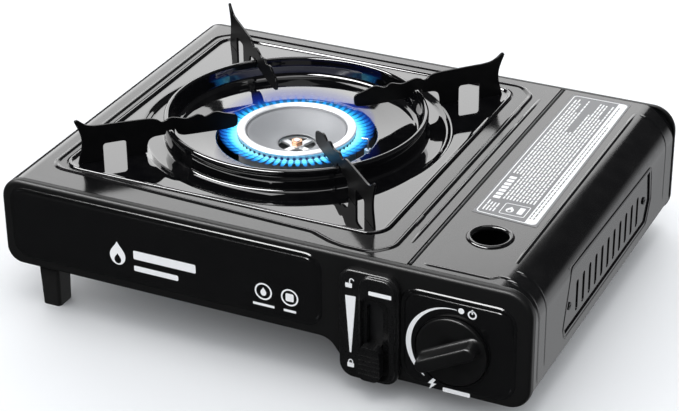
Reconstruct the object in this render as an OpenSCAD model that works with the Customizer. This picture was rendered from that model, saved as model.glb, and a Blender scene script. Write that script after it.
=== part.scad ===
// Portable cassette stove: steel body, lift-off enamel tray with four support arms,
// ring burner, hinged lid over the fuel cartridge bay, gas knob and cartridge lock lever.
// Millimetres. +X right, +Y back, +Z up. The origin is under the middle of the whole part.

/* [Body] */
// Width of the body over its side walls
body_w = 343; // [335:1:350]
// Depth from the shell's front edge to the rear panel's face
body_d = 256; // [252:1:262]
// Height of the flat top plate
top_z = 86.5; // [84:0.5:90]
// Height of the underside of the burner box
box_floor_z = 28.4; // [26:0.2:30]
// Height of the underside of the cartridge bay
bay_floor_z = 11.2; // [10:0.2:12]
// Thickness of the body sheet
sheet = 0.9; // [0.8:0.1:1]
// How far the front panel stands out in front of the shell
panel_rim = 4; // [3:0.5:5]
// How far the knob stands out from the front panel
knob_out = 14; // [13:0.5:16]

/* [Tray and burner] */
// Side of the square drip tray
tray_side = 214.5; // [210:0.5:215]
// Radius of the crest of the tray's wind ring
crest_r = 81.4; // [80:0.2:83]
// Radius of the hole round the burner
tray_hole_r = 50.5; // [48:0.5:52]
// Radius of the burner's top rim
burner_r = 38; // [36:0.5:39]
// Number of flame ports
ports = 60; // [48:4:72]
// Thickness of a support arm
arm_t = 1.5; // [1.2:0.1:2]

/* [Lid and controls] */
// Distance of the lid's hinge line from the middle of the body
hinge_x = 95.8; // [95:0.1:96.5]
// Number of knuckles in the lid's hinge
knuckles = 10; // [6:2:12]
// Radius of the finger hole in the lid
thumb_r = 10.5; // [9:0.5:11]
// Number of vent slots in the lid's side
vents = 11; // [9:1:11]
// Radius of the gas knob
knob_r = 22; // [20:0.5:23]
// Angle of the knob's pointer, counter-clockwise from +X as seen from the front
knob_angle = 208; // [200:1:215]

/* [Hidden] */
$fn = 64;
shell_y = (panel_rim + knob_out) / 2; // brings the middle of the whole depth to y = 0
front_y = -body_d / 2; // shell's front edge, before that shift
face_y = front_y - panel_rim; // front panel's face
rear_face_y = body_d / 2;
rear_y = rear_face_y - panel_rim;
half_w = body_w / 2;
under_top = top_z - sheet;
box_floor = box_floor_z + 2 * sheet; // top of the base plate
bay_floor = bay_floor_z + 2 * sheet;
gap = 0.4;

// End panel outline: corner radii and centres in x, z
corner_tl = 14;
corner_tr = 16;
corner_bl = 10.5;
corner_br = 14;
step_in_r = 12;
step_out_r = 13;
step_in = [41, box_floor_z - step_in_r];
step_out = [66, bay_floor_z + step_out_r];
lid_corner = 21.5;
lid_side = half_w - 0.5; // the lid's wall stands a little inside the end panels
lid_bottom = 22;

// Tray, measured up from its flat
tray_c = [-38.4, 2.4];
tray_t = 0.8;
tray_top = 86;
tray_corner = 13;
ledge_t = sheet;
ledge_w = 8;
opening_side = tray_side + 2;

// Arm outline, as distance from the tray's centre and height over its flat
arm_foot = [97, 140.5];
arm_window = [110, 124.5];
arm_window_h = 11;
arm_tab_h = 2.2;
arm_tabs = [[100, 106], [128, 134]];

// Burner, on the tray's centre
burner_top = 86;
port_z = [78.5, 84.5];
dish_r = 32;
dish_floor_z = 75.5;
cross_r = 13;
cup_floor_z = 44;
mixer_z = 58;
mixer_angle = -45;
mixer_r = 9;
mixer_end = 108;
jet_end = 127;
elbow_at = 134;
elbow_r = 7;
elbow_c = tray_c + elbow_at * [cos(mixer_angle), sin(mixer_angle)];
tube_r = 3;

// Hinge
hinge_z = 86.1;
pin_r = 0.5;
pin_run = 0.05;
barrel_r = 0.95;
leaf_t = 0.5;
leaf_w = 8;
hinge_end = 2;
lid_edge = 1.25; // lid sheet to hinge axis
top_edge = 1.65; // top plate to hinge axis
hinge_y0 = front_y + hinge_end;
hinge_len = rear_y - front_y - 2 * hinge_end;
knuckle = hinge_len / knuckles;

// Gas train
partition_x = 80.5;
regulator = [127, 48];
regulator_r = 21;
regulator_y = [-114, -90];
socket_r = 12;
socket_y = [-88, -80];
shaft = [125.2, 41.3];
shaft_r = 4;
shaft_run = 0.05;
boss_r = 8;
boss_y = -120;
bracket_x = [98, 156];
fork_y = -84;
fork_t = 2;
rod_x = [104, 150];
rod_z = 26;
rod_r = 2;
rod_run = 0.05;

// Control face
plate_t = 1.2;
control = [92, 15, 163, 76];
trim = [-166, 34, 44, 83];
bezel = [56, 9, 93, 80.5];
bezel_t = 5;
slot = [73, 20.5, 83, 60];
lever = [71.5, 14, 84.5, 36];
knob_skirt = 2.6;
grip_w = 12.4;

// Electrode and its wire, in the burner's surroundings
electrode = [8.5, 8];
wire_r = 1.25;
wire_path = [
    [8.5, 8, 57], [9.5, 7.5, 46], [16, 6, 36], [38, -4, 33.5], [60, -30, 33.5],
    [71, -70, 33], [73, -104, 30], [82, -117, 25], [92, -119, 21], [96.4, -119, 20]
];
wire_steps = 5;
wire_sides = 8;

// ---- helpers ----

function arc(c, r, a0, a1, n = 8) = [
    for (i = [0:n]) let (a = a0 + (a1 - a0) * i / n) c + r * [cos(a), sin(a)]
];
function unit(v) = v / norm(v);
function left(v) = [-v.y, v.x];
function reversed(p) = [for (i = [len(p) - 1:-1:0]) p[i]];
// The path moved t to its left, with mitred corners
function moved_left(p, t) = [
    for (i = [0:len(p) - 1])
        let (
            a = left(unit(i == 0 ? p[1] - p[0] : p[i] - p[i - 1])),
            b = i == len(p) - 1 ? a : left(unit(p[i + 1] - p[i]))
        ) p[i] + (a + b) * t / (1 + a * b)
];
function strip(p, t) = concat(p, reversed(moved_left(p, t)));

// Everything is drawn about the shell's middle and then shifted
module placed() translate([0, shell_y, 0]) children();
module at_tray() placed() translate([tray_c.x, tray_c.y, 0]) children();
module at_mixer(d) at_tray() rotate([0, 0, mixer_angle]) translate([d, 0, mixer_z]) children();

// Extrudes an x, z outline from y0 to y1
module along_y(y0, y1) translate([0, y1, 0]) rotate([90, 0, 0]) linear_extrude(y1 - y0) children();
module rod_y(x, z, r, y0, y1) along_y(y0, y1) translate([x, z]) circle(r);
module block(a, b) translate(a) cube(b - a);

module rounded(w, d, r) {
    square([w - 2 * r, d], center = true);
    square([w, d - 2 * r], center = true);
    for (x = [-1, 1], y = [-1, 1]) translate([x * (w / 2 - r), y * (d / 2 - r)]) circle(r);
}
// Rounded rectangle given as [x0, z0, x1, z1]
module rounded_box(b, r, inset = 0) translate([b[0] + b[2], b[1] + b[3]] / 2)
    rounded(b[2] - b[0] - 2 * inset, b[3] - b[1] - 2 * inset, r - inset);

// Outline of the end panels, moved in by e
function end_outline(e) = concat(
    arc([-half_w + corner_tl, top_z - corner_tl], corner_tl - e, 180, 90),
    arc([half_w - corner_tr, top_z - corner_tr], corner_tr - e, 90, 0),
    arc([half_w - corner_br, bay_floor_z + corner_br], corner_br - e, 0, -90),
    arc(step_out, step_out_r - e, 270, 205),
    arc(step_in, step_in_r + e, 28, 90),
    arc([-half_w + corner_bl, box_floor_z + corner_bl], corner_bl - e, 270, 180)
);

// ---- body ----

module body_shell() color("#151517") placed() {
    difference() {
        along_y(front_y, rear_y) polygon(strip(concat(
            [[hinge_x - top_edge, top_z]],
            arc([-half_w + corner_tl, top_z - corner_tl], corner_tl, 90, 180),
            arc([-half_w + corner_bl, box_floor_z + corner_bl], corner_bl, 180, 270),
            [[-half_w + 22, box_floor_z]]
        ), sheet));
        translate([tray_c.x, tray_c.y, under_top - 1]) linear_extrude(3)
            rounded(opening_side, opening_side, tray_corner + 1);
        for (y = [-78, 78]) translate([partition_x - 0.6, y - 5.5, under_top - 1]) cube([2.2, 11, 3]);
    }
    tray_ledge();
}

// Turned-down edge and shelf that carry the tray
module tray_ledge() translate([tray_c.x, tray_c.y, tray_top - tray_t - ledge_t])
    difference() {
        linear_extrude(top_z - 0.2 - (tray_top - tray_t - ledge_t))
            rounded(opening_side + 2 * sheet, opening_side + 2 * sheet, tray_corner + 1 + sheet);
        translate([0, 0, ledge_t]) linear_extrude(5)
            rounded(opening_side, opening_side, tray_corner + 1);
        translate([0, 0, -1]) linear_extrude(5)
            rounded(opening_side - 2 * ledge_w, opening_side - 2 * ledge_w, tray_corner);
    }

module base_plate() color("#1c1c1f") placed() difference() {
    block([-158, face_y + 1, box_floor_z + sheet], [60 - 0.1, rear_face_y - 1, box_floor]);
    screw_holes();
    for (x = [-120:24:-72], y = [-70:35:70])
        translate([x, y, box_floor_z]) linear_extrude(5) rounded(14, 5, 2.4);
}

module bay_pan() color("#1c1c1f") placed() difference() {
    along_y(face_y + 1, rear_face_y - 1) polygon(strip([
        [60, box_floor], [60, 19], [67, bay_floor_z + sheet], [157.5, bay_floor_z + sheet],
        [164.5, 19.5], [164.5, 32]
    ], sheet));
    screw_holes();
}

// Wall between the burner box and the bay, with its two fixing tabs
module partition() color("#202023") placed() difference() {
    union() {
        block([partition_x, front_y + 3, bay_floor], [partition_x + sheet, rear_y - 2, under_top]);
        for (y = [-78, 78])
            block([partition_x, y - 5, under_top - 1], [partition_x + sheet, y + 5, top_z + 1.4]);
        block([partition_x - 7, front_y + 3, bay_floor], [partition_x + 0.1, rear_y - 2, bay_floor + sheet]);
    }
    translate([partition_x - 1, elbow_c.y, mixer_z]) rotate([0, 90, 0]) cylinder(r = 5, h = 3);
    translate([partition_x - 1, -115.5, 25.6]) rotate([0, 90, 0]) cylinder(r = 5, h = 3);
}

// Pressed end panel: a face with a rim turned back all round
module end_pan(y0, y1, rim_y0, rim_y1) difference() {
    along_y(y0, y1) polygon(end_outline(0));
    along_y(rim_y0, rim_y1) polygon(end_outline(sheet));
}

module front_panel() color("#0f0f11") placed() difference() {
    end_pan(face_y, front_y, face_y + sheet, front_y + 1);
    rod_y(shaft.x, shaft.y, boss_r + 1, face_y - 1, front_y);
    along_y(face_y - 1, front_y) rounded_box(slot, 3);
}

module rear_panel() color("#0f0f11") placed() difference() {
    end_pan(rear_y, rear_face_y, rear_y - 1, rear_face_y - sheet);
    for (x = [-110:22:110])
        along_y(rear_y, rear_face_y + 1) rounded_box([x - 8, 52, x + 8, 57], 2.4);
}

module front_trim() color("#121214") placed()
    along_y(face_y - 0.8, face_y) difference() {
        rounded_box(trim, 11);
        rounded_box(trim, 11, 1.6);
    }

module control_plate() color("#121214") placed() difference() {
    along_y(face_y - plate_t, face_y) rounded_box(control, 12);
    rod_y(shaft.x, shaft.y, boss_r + 1, face_y - 3, face_y + 1);
}

module lock_bezel() color("#0c0c0d") placed() difference() {
    along_y(face_y - bezel_t, face_y) rounded_box(bezel, 9);
    // hollow at the back beside the control plate
    block([control[0] - 0.1, face_y - plate_t, 0], [100, face_y + 1, 100]);
    along_y(face_y - bezel_t - 1, face_y + 1) rounded_box(slot, 3);
    along_y(face_y - bezel_t - 1, face_y - 2.5) rounded_box([69, 12, 87.5, 72], 5);
}

// ---- feet and fasteners ----

module foot(x, y, h, top, bottom) placed() translate([x, y, 0]) difference() {
    hull() {
        linear_extrude(1) rounded(bottom.x, bottom.y, 2.5, $fn = 32);
        translate([0, 0, h - 1]) linear_extrude(1) rounded(top.x, top.y, 2.5, $fn = 32);
    }
    translate([0, 0, -1]) cylinder(r = 3, h = 4);
}
left_top = [14, 16];
left_bottom = [12.5, 14.5];
right_top = [16, 18];
right_bottom = [14, 16];
foot_x = [-145.5, 143];
foot_y = [-119.5, 112];
right_foot_y = [-92, 96];
screw_r = 1.5;
module foot_front_left() color("#101010") foot(foot_x[0], foot_y[0], box_floor_z, left_top, left_bottom);
module foot_rear_left() color("#101010") foot(foot_x[0], foot_y[1], box_floor_z, left_top, left_bottom);
module foot_front_right()
    color("#101010") foot(foot_x[1], right_foot_y[0], bay_floor_z + sheet, right_top, right_bottom);
module foot_rear_right()
    color("#101010") foot(foot_x[1], right_foot_y[1], bay_floor_z + sheet, right_top, right_bottom);

// Pan-head screws up into the base and the bay pan
base_screw_at = [
    for (x = [-60, 30], y = [-112, 108]) [x, y, box_floor_z],
    for (y = [-112, 112]) [112, y, bay_floor_z]
];
module base_screws() color("silver") placed() for (p = base_screw_at) translate(p) {
    translate([0, 0, -1]) cylinder(r = 3.2, h = 1.9);
    translate([0, 0, 0.9]) cylinder(r = screw_r, h = sheet);
}
module screw_holes() for (p = base_screw_at) translate(p) cylinder(r = screw_r + 0.02, h = 3 * sheet);

// ---- burner ----

module heat_plate() color("#b8bcc0") at_tray() difference() {
    translate([0, 0, box_floor]) linear_extrude(0.6) rounded(130, 130, 10);
    translate([0, 0, box_floor - 1]) cylinder(r = 8, h = 3);
}

// Sheet stool under the burner
module burner_bracket() color("#9a9da0") at_tray() difference() {
    translate([0, 0, box_floor + 0.6]) union() {
        for (s = [-1, 1]) {
            translate([s * 30 - 0.6, -14, 0]) cube([1.2, 28, cup_floor_z - box_floor - 0.6]);
            translate([s * 36 - 6, -14, 0]) cube([12, 28, 1.2]);
        }
        translate([-30, -14, cup_floor_z - box_floor - 1.8]) cube([60, 28, 1.2]);
    }
    translate([0, 0, cup_floor_z - 4]) cylinder(r = 3.2, h = 8);
    for (s = [-1, 1]) translate([s * 37, 0, box_floor]) cylinder(r = 1.8, h = 4);
}

module burner_cup() color("#8c8f93") difference() {
    union() {
        at_tray() rotate_extrude() polygon([
            [2.6, cup_floor_z], [24, cup_floor_z], [35, cup_floor_z + 8], [37, cup_floor_z + 14],
            [37, port_z[0]], [33.5, port_z[0]], [33.5, cup_floor_z + 15],
            [31, cup_floor_z + 10], [22, cup_floor_z + 3.5], [2.6, cup_floor_z + 3.5]
        ]);
        at_mixer(31) rotate([0, 90, 0]) cylinder(r = mixer_r + 2.5, h = 12);
    }
    at_mixer(20) rotate([0, 90, 0]) cylinder(r = mixer_r, h = 30);
}

module burner_port_ring() color("#a4a8ac") at_tray() difference() {
    translate([0, 0, port_z[0]]) cylinder(r = burner_r - 0.5, h = port_z[1] - port_z[0]);
    translate([0, 0, port_z[0] - 1]) cylinder(r = 33.5, h = 10);
    for (i = [0:ports - 1]) rotate([0, 0, i * 360 / ports])
        translate([30, -0.9, port_z[0] + 1.5]) cube([12, 1.8, 3.5]);
}

// Dished cap with a flat rim; its middle is open for the cross
module burner_dish() color("#c9ccd0") at_tray() rotate_extrude() polygon(strip(concat(
    [[burner_r, burner_top - 1.5], [burner_r, burner_top - 0.4], [burner_r - 0.4, burner_top]],
    [[dish_r + 0.8, burner_top]],
    arc([0, dish_floor_z + 48.1], 49.8, -50, -75, 9)
), 1));

module burner_cross() color("#d4d6d8") at_tray() translate([0, 0, dish_floor_z - 3.6]) difference() {
    union() {
        difference() {
            cylinder(r = cross_r + 1.5, h = 1.2);
            translate([0, 0, -1]) cylinder(r = cross_r - 0.5, h = 3);
        }
        cylinder(r = 4.6, h = 2.6);
        for (a = [70:90:340]) rotate([0, 0, a]) translate([0, -2, 0]) cube([cross_r, 4, 1.6]);
    }
    translate([0, 0, -1]) cylinder(r = 2.1, h = 5);
}

module burner_stud() color("silver") at_tray() {
    translate([0, 0, cup_floor_z - 3]) cylinder(r = 4.4, h = 1.8, $fn = 6);
    translate([0, 0, cup_floor_z - 1.2]) cylinder(r = 2, h = dish_floor_z + 2 - cup_floor_z + 1.2);
}

module burner_nut() color("#b87333") at_tray() translate([0, 0, dish_floor_z - 1]) difference() {
    cylinder(r = 3.8, h = 2.6, $fn = 6);
    translate([0, 0, -1]) cylinder(r = 2.05, h = 5);
}

// ---- gas train ----

module mixer_tube() color("#a9adb1") difference() {
    union() {
        at_mixer(30) rotate([0, 90, 0]) cylinder(r = mixer_r, h = mixer_end - 30);
        at_mixer(mixer_end - 3) rotate([0, 90, 0]) cylinder(r1 = mixer_r, r2 = mixer_r + 2, h = 3);
    }
    at_mixer(29) rotate([0, 90, 0]) cylinder(r = mixer_r - 1.2, h = mixer_end);
    for (a = [45:90:315]) at_mixer(mixer_end - 12) rotate([a, 0, 0]) cylinder(r = 3, h = 15);
}

module jet_elbow() color("#b5a642") placed() difference() {
    translate([elbow_c.x, elbow_c.y, mixer_z - 8]) cylinder(r = elbow_r, h = 16);
    translate([elbow_c.x, elbow_c.y, mixer_z]) rotate([0, 90, 0]) cylinder(r = tube_r, h = 20);
    translate([elbow_c.x, elbow_c.y, mixer_z]) rotate([0, 90, 180 + mixer_angle])
        translate([0, 0, elbow_r - 3.5]) cylinder(r = 2.5, h = 20);
    translate([elbow_c.x, elbow_c.y, mixer_z]) sphere(r = tube_r - 0.2);
}

module gas_jet() color("#c8a951") difference() {
    union() {
        at_mixer(elbow_at - elbow_r - 6) rotate([0, 90, 0]) cylinder(r = 5, h = 5.2, $fn = 6);
        at_mixer(elbow_at - elbow_r - 12) rotate([0, 90, 0]) cylinder(r1 = 1.6, r2 = 3, h = 6);
        at_mixer(elbow_at - elbow_r - 1) rotate([0, 90, 0]) cylinder(r = 2.5, h = 4);
    }
    at_mixer(elbow_at - elbow_r - 14) rotate([0, 90, 0]) cylinder(r = 0.8, h = 20);
}

tube_end_x = regulator.x - sqrt(pow(regulator_r, 2) - pow(mixer_z - regulator.y, 2)) + 3;
module gas_tube() color("#b87333") placed() translate([0, elbow_c.y, mixer_z]) rotate([0, 90, 0])
    difference() {
        translate([0, 0, elbow_c.x + 4]) cylinder(r = tube_r, h = tube_end_x - elbow_c.x - 4);
        translate([0, 0, elbow_c.x]) cylinder(r = tube_r - 0.8, h = 100);
    }

module regulator_body() color("#b9bcc0") placed() difference() {
    union() {
        rod_y(regulator.x, regulator.y, regulator_r, regulator_y[0] + 4, regulator_y[1]);
        rod_y(shaft.x, shaft.y, boss_r, boss_y, regulator_y[0] + 5);
    }
    rod_y(shaft.x, shaft.y, shaft_r + shaft_run, boss_y - 1, -101);
    translate([90, elbow_c.y, mixer_z]) rotate([0, 90, 0]) cylinder(r = tube_r, h = tube_end_x - 90);
}

module regulator_cover() color("#9fa3a7") placed() difference() {
    rod_y(regulator.x, regulator.y, regulator_r + 2, regulator_y[0], regulator_y[0] + 4);
    rod_y(shaft.x, shaft.y, boss_r, regulator_y[0] - 1, regulator_y[0] + 5);
}

module regulator_bracket() color("#a6a9ad") placed() difference() {
    block([bracket_x[0], regulator_y[1], bay_floor], [bracket_x[1], socket_y[0], 74]);
    rod_y(regulator.x, regulator.y, socket_r, regulator_y[1] - 1, socket_y[0] + 1);
    for (x = rod_x) rod_y(x, rod_z, rod_r, regulator_y[1] - 1, socket_y[0] + 1);
    // notch for the gas tube
    block([bracket_x[0] - 1, regulator_y[1] - 1, mixer_z - 4], [tube_end_x + 1, socket_y[0] + 1, mixer_z + 4]);
}

module cartridge_socket() color("#c9ccd0") placed() difference() {
    rod_y(regulator.x, regulator.y, socket_r, regulator_y[1], socket_y[1]);
    rod_y(regulator.x, regulator.y, 8, socket_y[0], socket_y[1] + 1);
}

module socket_seal() color("#202020") placed() difference() {
    rod_y(regulator.x, regulator.y, 6, socket_y[0], socket_y[0] + 3);
    rod_y(regulator.x, regulator.y, 2.5, socket_y[0] - 1, socket_y[1]);
}

module fork_guides() color("silver") placed()
    for (x = rod_x) rod_y(x, rod_z, rod_r, regulator_y[1], -72.6);

// U-shaped pusher that moves the cartridge off its socket
module lock_fork() color("#8e9296") placed() difference() {
    along_y(fork_y, fork_y + fork_t) rounded_box([98, 20, 156, 66], 5);
    rod_y(regulator.x, regulator.y, socket_r + 1.5, fork_y - 1, fork_y + fork_t + 1);
    block([regulator.x - socket_r - 1.5, fork_y - 1, regulator.y],
        [regulator.x + socket_r + 1.5, fork_y + fork_t + 1, 80]);
    for (x = rod_x) rod_y(x, rod_z, rod_r + rod_run, fork_y - 1, fork_y + fork_t + 1);
}

module cartridge_rests() color("#1c1c1f") placed()
    for (y = [-40, 70]) block([104, y, bay_floor], [150, y + 5, bay_floor + 1.2]);

// ---- ignition ----

module electrode_insulator() color("white") placed() translate([electrode.x, electrode.y, 0]) difference() {
    union() {
        translate([0, 0, 58]) cylinder(r = 2.4, h = 20);
        translate([0, 0, 64]) cylinder(r = 3.2, h = 3);
    }
    translate([0, 0, 57]) cylinder(r = 0.7, h = 22);
}

module electrode_pin() color("silver") placed() translate([electrode.x, electrode.y, 0]) {
    translate([0, 0, 58]) cylinder(r = 0.7, h = 27);
    translate([0, 0, 85]) rotate([0, -90, 8]) cylinder(r = 0.7, h = 4);
    translate([0, 0, 85]) sphere(r = 0.7);
}

// Arm from the burner's rim out to the electrode
module electrode_bracket() color("#9a9da0") placed() difference() {
    block([tray_c.x + 36.8, electrode.y - 3, 62.6], [electrode.x + 5, electrode.y + 3, 63.8]);
    translate([electrode.x, electrode.y, 60]) cylinder(r = 2.4, h = 8);
    translate([tray_c.x, tray_c.y, 55]) cylinder(r = 37, h = 20);
}

// Catmull-Rom point between p1 and p2
function spline(p0, p1, p2, p3, t) = 0.5 * (2 * p1 + (p2 - p0) * t
    + (2 * p0 - 5 * p1 + 4 * p2 - p3) * t * t + (3 * p1 - p0 - 3 * p2 + p3) * t * t * t);
function smooth(p, n) = concat([
    for (i = [0:len(p) - 2], j = [0:n - 1])
        spline(p[max(i - 1, 0)], p[i], p[i + 1], p[min(i + 2, len(p) - 1)], j / n)
], [p[len(p) - 1]]);
function ring(c, dir, r, sides) =
    let (side = unit(cross(dir, [0.2, 1, 0.1])), up = cross(side, dir))
    [for (k = [0:sides - 1]) let (a = 360 * k / sides) c + r * (cos(a) * side + sin(a) * up)];

module swept(p, r, sides) {
    n = len(p);
    rings = [for (i = [0:n - 1]) ring(p[i], unit(p[min(i + 1, n - 1)] - p[max(i - 1, 0)]), r, sides)];
    points = [for (s = rings, q = s) q];
    walls = [for (i = [0:n - 2], k = [0:sides - 1]) let (a = i * sides, b = (k + 1) % sides)
        [a + k, a + b, a + sides + b, a + sides + k]];
    polyhedron(points, concat([[for (k = [sides - 1:-1:0]) k]], walls,
        [[for (k = [0:sides - 1]) (n - 1) * sides + k]]));
}
module ignition_wire() color("#303030") placed() swept(smooth(wire_path, wire_steps), wire_r, wire_sides);

module piezo_igniter() color("#2b2b2e") placed() {
    block([96.4, -126, bay_floor + 0.4], [122, -112, 24]);
    rod_z_at([shaft.x - 4.5, -126.5 + 3], 2.4, 24, 27);
}
module rod_z_at(p, r, z0, z1) translate([p.x, p.y, z0]) cylinder(r = r, h = z1 - z0);

// ---- knob ----

module at_shaft() placed() translate([shaft.x, 0, shaft.y]) rotate([0, -knob_angle, 0]) children();

module knob() color("#0e0e0f") at_shaft() difference() {
    union() {
        rod_y(0, 0, knob_r, face_y - plate_t - gap - knob_skirt, face_y - plate_t - gap);
        along_y(face_y - knob_out, face_y - plate_t - gap - knob_skirt + 0.1)
            rounded_box([-knob_r + 2, -grip_w / 2, knob_r - 0.6, grip_w / 2], 3);
    }
    rod_y(0, 0, shaft_r, face_y - 9, face_y);
}

module valve_shaft() color("#c8a951") at_shaft() rod_y(0, 0, shaft_r, face_y - 9, -102);

module ignition_cam() color("#777a7d") at_shaft() difference() {
    union() {
        rod_y(0, 0, 7, -128, -124);
        along_y(-128, -124) rounded_box([0, -2.5, 12, 2.5], 2);
    }
    rod_y(0, 0, shaft_r, -130, -120);
}

// ---- lock lever ----

module lock_lever() color("#0e0e0f") placed() difference() {
    union() {
        along_y(face_y - 11.5, face_y - bezel_t - gap) rounded_box(lever, 4);
        block([slot[0] + 1, face_y - bezel_t - 2, 22], [slot[2] - 1, face_y + 3.5, 34]);
    }
    for (z = [18:3:30]) block([lever[0] - 1, face_y - 12, z], [lever[2] + 1, face_y - 10.7, z + 1.2]);
}

module lever_link() color("#8e9296") placed()
    block([slot[0] - 1, face_y + 3.5, 19], [slot[2] - 2, face_y + 5, 58]);

// ---- lid ----

module lid_shell() color("#17171a") placed() difference() {
    union() {
        along_y(front_y + gap, rear_y - gap) polygon(strip(concat(
            [[lid_side - 3, lid_bottom], [lid_side, lid_bottom]],
            arc([lid_side - lid_corner, top_z - lid_corner], lid_corner, 0, 90, 12),
            [[hinge_x + lid_edge, top_z]]
        ), sheet));
        vent_field(lid_side - 2 * sheet, lid_side - sheet + 0.05, 4);
    }
    vent_field(lid_side - sheet, half_w, 0);
    translate([125, -79, under_top - 1]) cylinder(r = 14, h = 3);
    for (i = [0:vents - 1]) vent(1 + (i - (vents - 1) / 2) * 11);
}
// Set-in field round the vent slots, between x0 and x1, larger by grow
module vent_field(x0, x1, grow) translate([x0, 0, 0]) rotate([90, 0, 90]) linear_extrude(x1 - x0)
    polygon([
        [-66 - grow, 68 + grow], [76 + grow, 65 + grow], [79 + grow, 44], [72 + grow, 31 - grow],
        [-75 - grow, 31 - grow], [-77 - grow, 36]
    ]);
module vent(y) translate([lid_side - 5, y, 0]) rotate([90, 0, 90]) linear_extrude(8)
    translate([0, 45.8]) rounded(4, 20.5, 1.9);

module thumb_ring() color("#17171a") placed() translate([125, -79, 0]) rotate_extrude() difference() {
    union() {
        translate([thumb_r + 1.7, top_z - 0.5]) circle(1.7);
        translate([thumb_r + 1.7, under_top - 0.7]) square([4.8, 0.7]);
    }
    translate([13.95, under_top]) square([3, 3]);
}

module lid_label() color("#8d9094") placed() translate([0, 0, top_z]) linear_extrude(0.2)
    polygon([[104, -55], [145, -58], [143, 119], [104, 119]]);

module vent_screws() color("#3a3a3c") placed() for (p = [[-68, 46], [68, 48]])
    translate([lid_side - sheet, p.x, p.y]) rotate([0, 90, 0]) difference() {
        cylinder(r = 2.4, h = 0.8);
        translate([0, 0, 0.3]) cube([0.8, 3.4, 2], center = true);
    }

// ---- hinge ----

// Knuckles of one leaf: those whose number has this parity
module hinge_leaf(parity, side, edge) placed() translate([hinge_x, hinge_y0, hinge_z]) {
    for (i = [parity:2:knuckles - 1]) translate([0, i * knuckle + 0.2, 0]) difference() {
        union() {
            rotate([-90, 0, 0]) cylinder(r = barrel_r, h = knuckle - 0.4);
            translate([side > 0 ? 0.6 : -leaf_w, 0, -1.1]) cube([leaf_w - 0.6, knuckle - 0.4, leaf_t]);
        }
        translate([0, -1, 0]) rotate([-90, 0, 0]) cylinder(r = pin_r + pin_run, h = knuckle + 2);
    }
    translate([side > 0 ? edge : -leaf_w, 0.2, -1.1]) cube([leaf_w - edge, hinge_len - 0.4, leaf_t]);
}
module hinge_leaf_fixed() color("#8e9296") hinge_leaf(0, -1, top_edge);
module lid_hinge_leaf() color("#8e9296") hinge_leaf(1, 1, lid_edge);
module hinge_pin() color("silver") placed()
    translate([hinge_x, hinge_y0 + 0.2, hinge_z]) rotate([-90, 0, 0]) cylinder(r = pin_r, h = hinge_len - 0.4);

// ---- tray and arms ----

// Section of the pressed sheet outside the hole, as radius and height
tray_section = concat(
    [[100, tray_top], [98.2, tray_top - 0.3], [96.2, 84.6], [95, 84.2]],
    [[83.2, 84.2], [82.1, 85.4]],
    arc([crest_r, 96.5], 1.75, 0, 180, 8),
    [[76.4, 87.4], [74.6, 85.6], [72, 84.8]],
    [[tray_hole_r + 1.4, 81.4], [tray_hole_r + 0.3, 80.9], [tray_hole_r, 79.8]]
);

module drip_tray() color("#0d0d0f") at_tray() difference() {
    union() {
        difference() {
            translate([0, 0, tray_top - tray_t]) linear_extrude(tray_t) rounded(tray_side, tray_side, tray_corner);
            translate([0, 0, tray_top - 3]) cylinder(r = 99.6, h = 5);
        }
        translate([0, 0, tray_top - 0.1]) linear_extrude(1.6) difference() {
            rounded(tray_side, tray_side, tray_corner);
            rounded(tray_side - 3, tray_side - 3, tray_corner - 1.5);
        }
        rotate_extrude($fn = 128) polygon(strip(tray_section, tray_t));
    }
    for (a = [45:90:315]) rotate([0, 0, a]) for (t = arm_tabs)
        translate([t[0] - 0.2, -arm_t / 2 - 0.2, tray_top - 2]) cube([t[1] - t[0] + 0.4, arm_t + 0.4, 4]);
}

arm_outline = concat(
    // inner end and the waved top edge, out to the hooked tip
    [[38.5, 9.4], [38.5, 14.8], [39.6, 16.2], [46, 18.2]],
    arc([52.5, 18.3], 2, 130, 60, 4), [[57, 18.6], [60, 18.2]],
    arc([63, 18.7], 1.9, 150, 70, 4), [[67.5, 19.6], [71.5, 18.9], [75.5, 20.1]],
    arc([81, 19.1], 2, 110, 40, 4), [[85, 19.3], [87.5, 19.3], [90.5, 21.6], [95, 22.7], [118, 23.6]],
    [[127, 23.8], [132, 24.3], [135.5, 25.8], [138.6, 28.6]],
    arc([140, 27.9], 1.5, 140, -20, 5),
    // hollow outer edge down to the foot, its window, and the foot's inner side
    [[139.2, 24], [137.9, 19.5], [137.4, 15], [137.9, 10], [139.3, 5], [arm_foot[1], 0]],
    [[arm_tabs[1][1], 0], [arm_tabs[1][1], -arm_tab_h], [arm_tabs[1][0], -arm_tab_h], [arm_tabs[1][0], 0]],
    [[arm_window[1], 0]],
    arc([arm_window[1] - 1.5, arm_window_h - 1.5], 1.5, 0, 90, 3),
    arc([arm_window[0] + 1.5, arm_window_h - 1.5], 1.5, 90, 180, 3),
    [[arm_window[0], 0]],
    [[arm_tabs[0][1], 0], [arm_tabs[0][1], -arm_tab_h], [arm_tabs[0][0], -arm_tab_h], [arm_tabs[0][0], 0]],
    [[arm_foot[0], 0], [96.6, 5], [95.4, 8.6], [92.5, 10], [85.5, 10.4]],
    // step over the wind ring, then the inner underside
    [[84.3, 12.9], [78.5, 12.9], [77, 9.4], [72, 7.8], [47, 7.4], [40.5, 8.2]]
);
module arm(a) color("#0b0b0c") at_tray() rotate([0, 0, a]) translate([0, arm_t / 2, tray_top])
    rotate([90, 0, 0]) linear_extrude(arm_t) polygon(arm_outline);
module arm_front_left() arm(225);
module arm_front_right() arm(315);
module arm_rear_left() arm(135);
module arm_rear_right() arm(45);

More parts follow.
